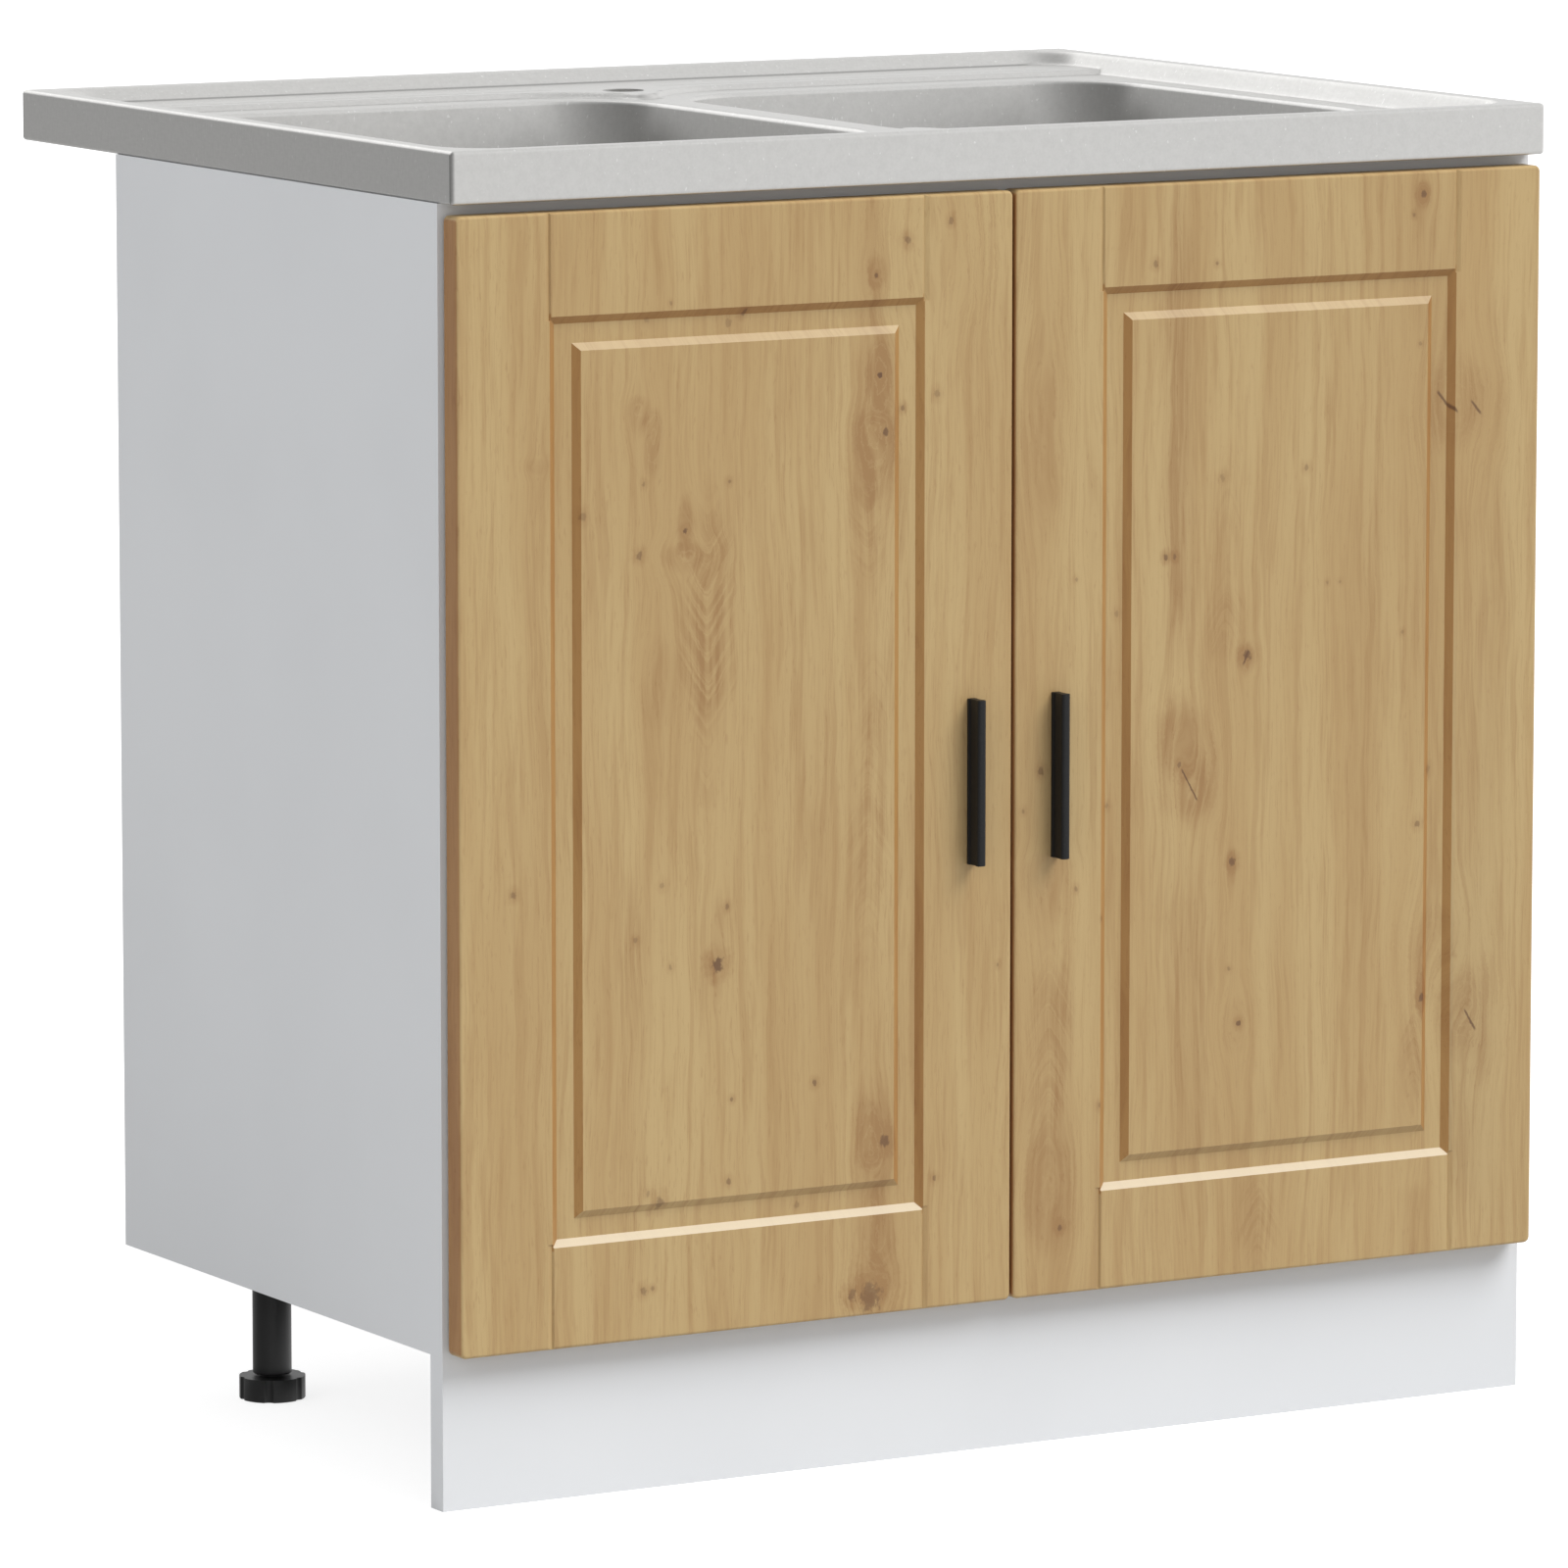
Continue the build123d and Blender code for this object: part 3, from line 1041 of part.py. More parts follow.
# ---- clips that hold the sink's return lip down to the side panels --------------------------
CLIP_WIDTH = 24.0
CLIP_THICKNESS = 1.5
CLIP_DROP = 32.0
CLIP_TAB = 10.0

with BuildPart() as sink_clips:
    for side in SIDES.values():
        for clip_y in CLIP_ROWS:
            clip_height = CLIP_DROP + SHEET + CLIP_THICKNESS
            leg_middle = CARCASS_TOP - CLIP_DROP + clip_height / 2
            leg_plane = Plane(
                origin=(side * INNER_X, clip_y, leg_middle), x_dir=TO_BACK, z_dir=(-side, 0, 0)
            )
            extrude(rectangle(leg_plane, CLIP_WIDTH, clip_height), amount=CLIP_THICKNESS)
            tab_origin = (
                side * (INNER_X + (CLIP_TAB - CLIP_THICKNESS) / 2),
                clip_y,
                CARCASS_TOP + SHEET,
            )
            tab = rectangle(Plane(origin=tab_origin), CLIP_TAB + CLIP_THICKNESS, CLIP_WIDTH)
            extrude(tab, amount=CLIP_THICKNESS)
            hole = disc(clip_screw_plane(side, clip_y), CLIP_SCREW_RADIUS + FIT)
            extrude(hole, amount=CLIP_THICKNESS, mode=Mode.SUBTRACT)
save(sink_clips, "sink_clips")

with BuildPart() as sink_clip_screws:
    for side in SIDES.values():
        for clip_y in CLIP_ROWS:
            seat = clip_screw_plane(side, clip_y).offset(CLIP_THICKNESS)
            wood_screw(seat, CLIP_SCREW_RADIUS, CLIP_SCREW_LENGTH + CLIP_THICKNESS)
save(sink_clip_screws, "sink_clip_screws")
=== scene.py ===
"""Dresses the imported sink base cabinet.

Pressed steel sink, oak-grain doors, white boards and black fittings. Lengths are in mm unless
something else is said.
"""

import json
import logging
import math
from dataclasses import dataclass
from enum import Enum
from typing import Optional, Sequence, Union

import bpy
import numpy as np
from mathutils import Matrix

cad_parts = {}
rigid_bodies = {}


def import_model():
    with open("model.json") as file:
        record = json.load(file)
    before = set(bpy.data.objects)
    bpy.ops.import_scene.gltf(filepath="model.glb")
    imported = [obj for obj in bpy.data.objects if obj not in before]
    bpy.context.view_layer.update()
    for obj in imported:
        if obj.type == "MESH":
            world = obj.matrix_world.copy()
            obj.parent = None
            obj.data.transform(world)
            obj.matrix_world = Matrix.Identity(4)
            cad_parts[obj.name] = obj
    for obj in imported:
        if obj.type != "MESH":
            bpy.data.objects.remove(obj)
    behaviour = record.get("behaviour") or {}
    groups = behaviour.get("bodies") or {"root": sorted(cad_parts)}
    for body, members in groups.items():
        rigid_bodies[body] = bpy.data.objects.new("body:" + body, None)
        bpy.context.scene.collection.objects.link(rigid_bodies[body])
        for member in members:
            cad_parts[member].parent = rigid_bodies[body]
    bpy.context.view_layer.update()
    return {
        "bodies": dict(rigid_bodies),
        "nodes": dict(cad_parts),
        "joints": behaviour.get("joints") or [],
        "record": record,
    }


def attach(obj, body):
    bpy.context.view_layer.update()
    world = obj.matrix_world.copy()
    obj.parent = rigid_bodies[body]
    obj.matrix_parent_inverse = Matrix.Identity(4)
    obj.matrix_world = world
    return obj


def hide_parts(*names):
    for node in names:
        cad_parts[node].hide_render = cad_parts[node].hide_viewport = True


MM = 0.001  # a millimetre in metres
SINK_Y = 7.0  # how far behind the origin the sink's middle lies
BOWL_X = 186.25  # from the cabinet's middle to a bowl's
HANDLE_X = 31.0  # from the cabinet's middle to a handle's
DOOR_Y = -293.0  # the doors' face
log = logging.getLogger("sink_cabinet")

Colour = tuple[float, float, float]
Number = Union[float, "Socket"]
Faced = tuple[np.ndarray, np.ndarray]  # points, and the way each of them faces


# ------------------------------------------------------------------ shader maths


class Socket:
    """An output socket of a material, on which arithmetic adds Math nodes."""

    def __init__(self, graph: "Graph", socket: bpy.types.NodeSocket) -> None:
        """Keeps the socket and the graph that it belongs to."""
        self.graph = graph
        self.socket = socket

    def _math(self, operation: str, *values: Number) -> "Socket":
        """One Math node of that operation on those values."""
        return self.graph.node("ShaderNodeMath", {"operation": operation}, dict(enumerate(values)))

    def __add__(self, other: Number) -> "Socket":
        """self + other."""
        return self._math("ADD", self, other)

    def __radd__(self, other: Number) -> "Socket":
        """other + self."""
        return self._math("ADD", other, self)

    def __sub__(self, other: Number) -> "Socket":
        """self - other."""
        return self._math("SUBTRACT", self, other)

    def __rsub__(self, other: Number) -> "Socket":
        """other - self."""
        return self._math("SUBTRACT", other, self)

    def __mul__(self, other: Number) -> "Socket":
        """self * other."""
        return self._math("MULTIPLY", self, other)

    def __rmul__(self, other: Number) -> "Socket":
        """other * self."""
        return self._math("MULTIPLY", other, self)

    def __abs__(self) -> "Socket":
        """The value without its sign."""
        return self._math("ABSOLUTE", self)

    def sine(self) -> "Socket":
        """The sine of the value in radians."""
        return self._math("SINE", self)

    def larger(self, other: Number) -> "Socket":
        """The larger of the two."""
        return self._math("MAXIMUM", self, other)

    def smaller(self, other: Number) -> "Socket":
        """The smaller of the two."""
        return self._math("MINIMUM", self, other)

    def rise(self, low: float, high: float) -> "Socket":
        """A smooth step from 0 at low to 1 at high, where low may be the larger."""
        return self.graph.node(
            "ShaderNodeMapRange",
            {"interpolation_type": "SMOOTHSTEP", "clamp": False},
            {0: self, 1: low, 2: high, 3: 0.0, 4: 1.0},
        )


class Graph:
    """The node tree of a material or world under construction."""

    def __init__(self, owner: bpy.types.ID) -> None:
        """Clears the owner's node tree."""
        owner.use_nodes = True
        self.owner = owner
        self.tree = owner.node_tree
        self.tree.nodes.clear()

    def node(
        self,
        kind: str,
        settings: Optional[dict] = None,
        values: Optional[dict] = None,
        out: Union[int, str] = 0,
    ) -> Socket:
        """Adds one node.

        Args:
            kind: Blender's type name of the node.
            settings: the node's properties, which are set first.
            values: a value or a Socket for each input, by name or number.
            out: which output to return.

        Returns:
            The chosen output.
        """
        made = self.tree.nodes.new(kind)
        for name, value in (settings or {}).items():
            setattr(made, name, value)
        for name, value in (values or {}).items():
            target = made.inputs[name]
            if isinstance(value, Socket):
                self.tree.links.new(value.socket, target)
            elif isinstance(value, tuple) and target.type == "RGBA":
                target.default_value = (*value, 1.0)
            else:
                target.default_value = value
        return Socket(self, made.outputs[out])

    def place(self) -> Socket:
        """The surface point in the piece's own coordinates, in mm."""
        return self.scaled(self.node("ShaderNodeTexCoord", out="Object"), (1 / MM,) * 3)

    def scaled(self, vector: Socket, by: Colour, moved: Colour = (0.0, 0.0, 0.0)) -> Socket:
        """The vector times by, plus moved, axis by axis."""
        settings = {"operation": "MULTIPLY_ADD"}
        return self.node("ShaderNodeVectorMath", settings, {0: vector, 1: by, 2: moved})

    def length(self, vector: Socket) -> Socket:
        """The vector's length."""
        return self.node("ShaderNodeVectorMath", {"operation": "LENGTH"}, {0: vector}, "Value")

    def parts(self, vector: Socket) -> tuple[Socket, Socket, Socket]:
        """Takes a vector apart.

        Args:
            vector: the vector.

        Returns:
            Its x, y and z.
        """
        x = self.node("ShaderNodeSeparateXYZ", None, {0: vector})
        _, y, z = x.socket.node.outputs
        return x, Socket(self, y), Socket(self, z)

    def joined(self, x: Number, y: Number, z: Number) -> Socket:
        """A vector of three numbers."""
        return self.node("ShaderNodeCombineXYZ", None, {0: x, 1: y, 2: z})

    def noise(
        self,
        point: Socket,
        per_mm: Union[float, Colour],
        detail: float = 2.0,
        roughness: float = 0.5,
    ) -> Socket:
        """Adds cloudy noise around 0.5.

        Args:
            point: where it is read.
            per_mm: clouds to a millimetre, one number for all axes or one for each.
            detail: how many finer layers it has.
            roughness: how strong the finer layers are.

        Returns:
            The noise.
        """
        by = per_mm if isinstance(per_mm, tuple) else (per_mm,) * 3
        values = {"Vector": self.scaled(point, by), "Scale": 1.0}
        values.update({"Detail": detail, "Roughness": roughness})
        return self.node("ShaderNodeTexNoise", {"noise_dimensions": "3D"}, values)

    def mixed(
        self,
        amount: Number,
        first: Union[Colour, Socket],
        second: Union[Colour, Socket],
        kind: str = "MIX",
    ) -> Socket:
        """A colour that goes from first to second as amount goes from 0 to 1."""
        settings = {"data_type": "RGBA", "blend_type": kind, "clamp_factor": True}
        return self.node("ShaderNodeMix", settings, {0: amount, 6: first, 7: second}, 2)

    def bump(self, height: Socket, depth: float, strength: float) -> Socket:
        """A normal bent by a height from 0 to 1 that stands for that depth."""
        values = {"Strength": strength, "Distance": depth * MM, "Height": height}
        return self.node("ShaderNodeBump", None, values, "Normal")

    def surface(self, values: dict) -> None:
        """Ends the material in a Principled BSDF with those inputs."""
        self.end(self.node("ShaderNodeBsdfPrincipled", None, values))

    def end(self, shader: Socket) -> None:
        """Links a shader to the output of the material or world."""
        owner = "World" if isinstance(self.owner, bpy.types.World) else "Material"
        output = self.tree.nodes.new(f"ShaderNodeOutput{owner}")
        self.tree.links.new(shader.socket, output.inputs["Surface"])


# ------------------------------------------------------------------ finishes


def dimmed(colour: Colour, by: float) -> Colour:
    """The colour times a number."""
    return tuple(part * by for part in colour)


@dataclass(frozen=True)
class Finish:
    """A surface finish. Each kind writes its own nodes."""

    name: str

    def material(self) -> bpy.types.Material:
        """Makes the material.

        Returns:
            The finish as a new material.
        """
        made = bpy.data.materials.new(self.name)
        self.write(Graph(made))
        return made

    def write(self, graph: Graph) -> None:
        """Fills the material's nodes."""
        raise NotImplementedError


@dataclass(frozen=True)
class MelamineBoard(Finish):
    """White melamine-faced board: an even satin white with a very fine pebble."""

    colour: Colour = (0.80, 0.815, 0.835)
    cloud_dim: float = 0.975
    clouds_per_mm: float = 0.006
    pebbles_per_mm: float = 1.6
    pebble_depth: float = 0.03
    roughness: float = 0.46

    def write(self, graph: Graph) -> None:
        """Writes the board: fine noise is the pebble, and broad clouds dim the white a little.

        Args:
            graph: the material's empty node tree.
        """
        point = graph.place()
        pebble = graph.noise(point, self.pebbles_per_mm)
        cloud = graph.noise(point, self.clouds_per_mm)
        shade = dimmed(self.colour, self.cloud_dim)
        graph.surface(
            {
                "Base Color": graph.mixed(cloud.rise(0.3, 0.7), self.colour, shade),
                "Roughness": self.roughness + 0.08 * pebble,
                "Normal": graph.bump(pebble, self.pebble_depth, 0.35),
                "Specular IOR Level": 0.35,
            }
        )


class FoilPaint:
    """The markings of a foil while they are drawn: how brown, pale-lined and dark each place is.

    The sideways coordinate across is wavy, and whirls push it apart, so that fibres that are read
    from it flow past them. The constants are how far its long and its short waves go.
    """

    SWAY = 22.0
    TREMBLE = 4.0

    def __init__(self, graph: Graph, x: Socket, z: Socket, seed: float) -> None:
        """Starts with plain wavy fibres.

        Args:
            graph: the material's node tree.
            x: the sideways place on the door's front.
            z: the height.
            seed: where the noises are cut, which gives each door its own figure.
        """
        self.graph, self.x, self.z, self.seed = graph, x, z, seed
        self.plane = graph.joined(x, seed, z)
        wave = graph.noise(self.plane, (0.012, 1.0, 0.0040)) - 0.5
        self.ripple = graph.noise(self.plane, (0.060, 1.0, 0.022)) - 0.5
        self.ragged = graph.noise(self.plane, (0.34, 1.0, 0.26), 3.0, 0.65) - 0.5
        self.across = x + self.SWAY * wave + self.TREMBLE * self.ripple
        self.fill: Number = 0.0
        self.line: Number = 0.0
        self.dark: Number = 0.0

    def fibres(self) -> Socket:
        """The place among the fibres as a vector."""
        return self.graph.joined(self.across, self.seed, self.z)


@dataclass(frozen=True)
class Knot:
    """A small dark fleck: its place, its half width, and how dark it is from 0 to 1."""

    x: float
    z: float
    size: float
    dark: float

    def draw(self, foil: FoilPaint) -> None:
        """Draws a ragged dark spot, a little taller than wide, with a brown halo.

        Args:
            foil: the markings so far.
        """
        across, up = 1.0 / self.size, 0.8 / self.size
        moved = (-self.x * across, 0.0, -self.z * up)
        away = foil.graph.length(foil.graph.scaled(foil.plane, (across, 0.0, up), moved))
        rough = away + 2.2 * foil.ragged
        foil.dark = rough.rise(1.15, 0.55) * self.dark + foil.dark
        foil.fill = rough.rise(3.4, 1.0) * (0.65 * self.dark) + foil.fill


@dataclass(frozen=True)
class Whirl:
    """A browner patch with nested rings: centre, half width, and reach above and below."""

    x: float
    z: float
    wide: float
    up: float
    down: float
    rings: float
    shade: float

    def draw(self, foil: FoilPaint) -> None:
        """Draws the patch and its rings, and pushes the fibres apart round it.

        The distance from the centre is that of an ellipse whose height is up above the centre and
        down below it: the reciprocal heights' mean times the rise without its sign, plus half their
        difference times the rise.

        Args:
            foil: the markings so far.
        """
        side = (foil.x - self.x) * (1.0 / self.wide)
        rise = foil.z - self.z
        even = (1 / self.up + 1 / self.down) / 2
        odd = (1 / self.up - 1 / self.down) / 2
        reach = foil.graph.length(foil.graph.joined(side, abs(rise) * even + rise * odd, 0.0))
        reach = reach + 0.55 * foil.ripple + 0.30 * foil.ragged
        inside = reach.rise(1.15, 0.55)
        foil.fill = inside * (self.shade * 0.8) + foil.fill
        if self.rings:
            turns = reach * (self.rings * math.tau) + 2.0 * foil.ragged
            foil.line = turns.sine().rise(0.70, 1.0) * (inside * (self.shade * 0.55)) + foil.line
        foil.across = foil.across + side * reach.rise(2.2, 0.0) * (-0.7 * self.wide)


@dataclass(frozen=True)
class Plume:
    """A patch of nested arches: centre, half width and height, line spacing, and slope.

    The arches point up where the slope is above 0 and down where it is below.
    """

    x: float
    z: float
    wide: float
    tall: float
    spacing: float
    slope: float
    shade: float

    def draw(self, foil: FoilPaint) -> None:
        """Draws the arches: lines of equal height plus slope times a rounded sideways distance.

        Args:
            foil: the markings so far.
        """
        graph = foil.graph
        side, rise = foil.x - self.x + 5.0 * foil.ripple, foil.z - self.z
        rounded = graph.length(graph.joined(side, 2.2, 0.0))
        arch = rise + rounded * self.slope + 5.0 * foil.ragged
        place = graph.joined(side * (1 / self.wide), rise * (1 / self.tall), 0.0)
        inside = (graph.length(place) + 0.9 * foil.ripple).rise(1.1, 0.30) * self.shade
        place = graph.joined(arch * (2.0 / self.spacing), foil.seed, (foil.x + foil.z) * 0.012)
        lines = graph.noise(place, 1.0, 2.0, 0.6)
        foil.fill = (0.35 + 0.65 * lines.rise(0.42, 0.60)) * inside * 0.85 + foil.fill
        foil.line = abs(lines - 0.45).rise(0.030, 0.004) * inside * 0.45 + foil.line


@dataclass(frozen=True)
class Band:
    """A browner upright strip: its middle, lower and upper end, half width, and shade."""

    x: float
    low: float
    high: float
    half: float
    shade: float

    def draw(self, foil: FoilPaint) -> None:
        """Draws the strip along the fibres, fading to its sides and ends.

        Args:
            foil: the markings so far.
        """
        strip = abs(foil.across - self.x).rise(self.half, self.half * 0.35)
        middle, reach = (self.low + self.high) / 2, (self.high - self.low) / 2
        ends = abs(foil.z - middle).rise(reach, reach * 0.6)
        foil.fill = strip * ends * self.shade + foil.fill


@dataclass(frozen=True)
class Crack:
    """A hair crack from one place to another, and its half width."""

    x: float
    z: float
    end_x: float
    end_z: float
    half: float

    def draw(self, foil: FoilPaint) -> None:
        """Draws a ragged dark line by the distance from the line between its ends.

        Args:
            foil: the markings so far.
        """
        long = math.hypot(self.end_x - self.x, self.end_z - self.z)
        ux, uz = (self.end_x - self.x) / long, (self.end_z - self.z) / long
        right, up = foil.x - self.x, foil.z - self.z
        off = abs(right * uz - up * ux + 1.6 * foil.ragged).rise(self.half * 2, self.half * 0.5)
        ends = abs(right * ux + up * uz - long / 2).rise(long / 2, long / 2 - 3.0)
        foil.dark = off * ends * 0.8 + foil.dark


@dataclass(frozen=True)
class DoorFigure:
    """The markings of one door's foil, and the door's centre, for the routed slopes."""

    centre_x: float
    seed: float
    knots: tuple[Knot, ...]
    whirls: tuple[Whirl, ...]
    plumes: tuple[Plume, ...]
    cracks: tuple[Crack, ...]
    bands: tuple[Band, ...]

    def draw(self, foil: FoilPaint) -> None:
        """Draws every marking, whirls first, because bands follow the fibres that they move."""
        for mark in (*self.whirls, *self.plumes, *self.bands, *self.knots, *self.cracks):
            mark.draw(foil)


@dataclass(frozen=True)
class OakFoil(Finish):
    """Satin oak-grain foil: fine upright fibres that part round whirls, with arches and bands."""

    figure: DoorFigure
    middle_z: float = 452.5
    half_opening: float = 289.5
    half_door: float = 198.0
    depth_slant: float = 0.6
    light: Colour = (0.530, 0.380, 0.180)
    middle: Colour = (0.468, 0.313, 0.140)
    brown: Colour = (0.350, 0.202, 0.082)
    pale: Colour = (0.590, 0.438, 0.222)
    heart: Colour = (0.130, 0.064, 0.034)
    # painted shade: the darker, browner tint of slopes that face sideways or down
    painted_slope_shade: Colour = (0.80, 0.62, 0.43)
    # painted highlight: the paler tint of slopes that face up
    painted_slope_highlight: Colour = (0.76, 0.66, 0.50)
    # painted shade: the darker, browner tint of the door's side faces
    side: Colour = (0.80, 0.60, 0.50)
    roughness: float = 0.46
    pore_depth: float = 0.06

    def routed(self, graph: Graph, x: Socket, z: Socket) -> tuple[Socket, Socket, Socket]:
        """Finds the slopes of the routed frame by the way that the faces point.

        Sideways slopes and the top of the opening get painted shade, darker and browner, but not
        the raised field's own lower slope. Slopes that face up get a painted highlight, paler, most
        of all the opening's bottom.

        Args:
            graph: the material's node tree.
            x: the sideways place.
            z: the height.

        Returns:
            The slopes' painted shade and painted highlight, and 1 on the door's side faces.
        """
        way_x, _, way_z = graph.parts(graph.node("ShaderNodeTexCoord", out="Normal"))
        sideways, upright = abs(x - self.figure.centre_x), abs(z - self.middle_z)
        opening, door = self.half_opening, self.half_door
        bottom = (z - self.middle_z + opening).rise(8.0, 4.0)
        inner = upright.rise(opening - 8.0, opening - 12.0)
        # painted shade where slopes face sideways or down, painted highlight where they face up
        dark = abs(way_x).rise(0.3, 0.5) + way_z.rise(-0.3, -0.5) * (1.0 - inner * 0.9)
        pale = way_z.rise(0.3, 0.5) * (0.28 + 0.50 * bottom)
        # past marks the door's side faces, which get painted shade
        past = sideways.rise(door - 0.9, door - 0.1)
        within = sideways.rise(door - 4.0, door - 6.0) * upright.rise(opening + 3.0, opening + 1.0)
        return dark * within, pale * within, past

    def write(self, graph: Graph) -> None:
        """Writes the foil: the door's figure over four noises that are drawn out along the fibres.

        Tone and streak shade the light wood, fibre and pore darken it in fine lines, then come the
        markings' brown, their pale lines and dark hearts, the slopes' painted shade and painted
        highlight, and painted shade on the door's side faces.

        Args:
            graph: the material's empty node tree.
        """
        x, y, z = graph.parts(graph.place())
        slope_shade_mask, slope_highlight_mask, sides = self.routed(graph, x, z)
        foil = FoilPaint(graph, x + self.depth_slant * (y - DOOR_Y), z, self.figure.seed)
        relief = graph.noise(foil.fibres(), (1.25, 0.9, 0.03), 2.0, 0.6)
        self.figure.draw(foil)
        grain = foil.fibres()
        tone = graph.noise(grain, (0.030, 3.0, 0.0022))
        streak = graph.noise(grain, (0.17, 1.7, 0.0075), 3.0, 0.65)
        fibre = graph.noise(grain, (0.55, 0.9, 0.016), 3.0, 0.75)
        pore = graph.noise(grain, (0.9, 0.5, 0.10), 2.0, 0.6)
        shade = tone.rise(0.36, 0.66) * 0.8 + streak.rise(0.40, 0.70) * 0.4
        body = graph.mixed(shade, self.light, self.middle)
        shade = foil.fill.smaller(0.9) * (0.55 + 0.9 * streak.rise(0.30, 0.62))
        shade = shade + streak.rise(0.48, 0.66) * 0.24
        shade = shade + fibre.rise(0.48, 0.64) * 0.20 + pore.rise(0.60, 0.70) * 0.26
        body = graph.mixed(shade, body, self.brown)
        body = graph.mixed(foil.line.smaller(1.0) * 0.55, body, self.pale)
        body = graph.mixed(foil.dark.smaller(0.9), body, self.heart)
        # painted shade on the slopes, then painted highlight on the slopes that face up
        body = graph.mixed(slope_shade_mask, body, self.painted_slope_shade, "MULTIPLY")
        body = graph.mixed(slope_highlight_mask, body, self.painted_slope_highlight)
        # painted shade on the door's side faces
        body = graph.mixed(sides, body, self.side, "MULTIPLY")
        graph.surface(
            {
                "Base Color": body,
                "Roughness": self.roughness + 0.10 * fibre + 0.08 * foil.dark.smaller(1.0),
                "Normal": graph.bump(relief, self.pore_depth, 0.35),
                "Specular IOR Level": 0.5,
            }
        )


@dataclass(frozen=True)
class LinenSteel(Finish):
    """Stainless sheet with a fine linen-like emboss and a soft satin shine."""

    colour: Colour = (0.66, 0.655, 0.64)
    valley_dim: float = 0.94
    fleck_colour: Colour = (0.86, 0.86, 0.85)
    # the dark seams, and painted shade in the crease at the back wall's foot
    seam_and_shade_colour: Colour = (0.05, 0.05, 0.05)
    roughness: float = 0.36
    emboss_depth: float = 0.12
    seam_y: float = 297.6
    seam_x: float = 399.4
    seam_top: float = 844.5
    foot_y: float = 275.0
    foot_x: float = 366.0
    foot_z: float = 837.5

    def lines(self, graph: Graph, point: Socket) -> Socket:
        """Finds the dark lines: the seams and a line of painted shade.

        The seams are at the apron's folded corners, and the painted shade lies in the crease at the
        back wall's foot on the ledge.

        Args:
            graph: the material's node tree.
            point: the place.

        Returns:
            How strong the lines are.
        """
        x, y, z = graph.parts(point)
        y, far_x = y - SINK_Y, abs(x)
        seam = abs(abs(y) - self.seam_y).rise(0.55, 0.25)
        seam = seam * far_x.rise(self.seam_x - 0.4, self.seam_x)
        seam = seam * z.rise(self.seam_top, self.seam_top - 1.5)
        # painted shade: a dark line in the crease at the back wall's foot
        foot = abs(y - self.foot_y).rise(2.4, 1.0) * far_x.rise(self.foot_x, self.foot_x - 14.0)
        foot = foot * abs(z - self.foot_z).rise(2.5, 1.5)
        return seam * 0.8 + foot * 0.45

    def write(self, graph: Graph) -> None:
        """Writes the sheet: the emboss is two crossed stretched noises with sparse bright flecks.

        Args:
            graph: the material's empty node tree.
        """
        point = graph.place()
        warp = graph.noise(point, (0.55, 0.16, 0.55), 3.0, 0.6)
        weft = graph.noise(point, (0.16, 0.55, 0.16), 3.0, 0.6)
        fleck = graph.noise(point, (0.42, 0.42, 0.26), 1.0)
        cloud = graph.noise(point, 0.012, 3.0)
        linen = warp * 0.5 + weft * 0.5
        valley = dimmed(self.colour, self.valley_dim)
        body = graph.mixed(linen.rise(0.35, 0.68), self.colour, valley)
        body = graph.mixed(fleck.rise(0.70, 0.76) * 0.6, body, self.fleck_colour)
        graph.surface(
            {
                # the dark seams, and painted shade at the back wall's foot
                "Base Color": graph.mixed(self.lines(graph, point), body, self.seam_and_shade_colour),
                "Metallic": 1.0,
                "Roughness": self.roughness + 0.08 * linen + 0.06 * cloud,
                "Normal": graph.bump(linen, self.emboss_depth, 0.25),
            }
        )


@dataclass(frozen=True)
class PowderCoat(Finish):
    """Matt black powder coat with a fine orange peel."""

    colour: Colour = (0.010, 0.010, 0.0105)
    peel_lift: float = 1.9
    peels_per_mm: float = 1.1
    peel_depth: float = 0.06
    roughness: float = 0.42

    def write(self, graph: Graph) -> None:
        """Writes the coat: the peel is noise with bumps under a millimetre across.

        Args:
            graph: the material's empty node tree.
        """
        peel = graph.noise(graph.place(), self.peels_per_mm)
        grey = dimmed(self.colour, self.peel_lift)
        graph.surface(
            {
                "Base Color": graph.mixed(peel.rise(0.45, 0.85), self.colour, grey),
                "Roughness": self.roughness + 0.14 * peel,
                "Normal": graph.bump(peel, self.peel_depth, 0.5),
                "Specular IOR Level": 0.3,
            }
        )


@dataclass(frozen=True)
class MouldedPlastic(Finish):
    """Black moulded plastic with a fine spark-eroded grain."""

    colour: Colour = (0.013, 0.013, 0.013)
    grain_lift: float = 1.8
    grains_per_mm: float = 2.2
    grain_depth: float = 0.03
    clouds_per_mm: float = 0.05
    roughness: float = 0.34

    def write(self, graph: Graph) -> None:
        """Writes the plastic: fine noise is the grain, and broad clouds vary the gloss.

        Args:
            graph: the material's empty node tree.
        """
        point = graph.place()
        grain = graph.noise(point, self.grains_per_mm, 2.0, 0.6)
        cloud = graph.noise(point, self.clouds_per_mm)
        grey = dimmed(self.colour, self.grain_lift)
        graph.surface(
            {
                "Base Color": graph.mixed(grain.rise(0.4, 0.9), self.colour, grey),
                "Roughness": self.roughness + 0.10 * grain + 0.08 * cloud,
                "Normal": graph.bump(grain, self.grain_depth, 0.35),
            }
        )


class Plating(Enum):
    """How the metal fittings are coated: colour, roughness, and how much zinc flowers show."""

    NICKEL = ((0.64, 0.625, 0.60), 0.20, 0.0)
    CAST_ZINC = ((0.52, 0.52, 0.51), 0.42, 0.25)
    BRIGHT_ZINC = ((0.62, 0.63, 0.64), 0.28, 0.15)
    GALVANISED = ((0.56, 0.57, 0.58), 0.40, 0.9)


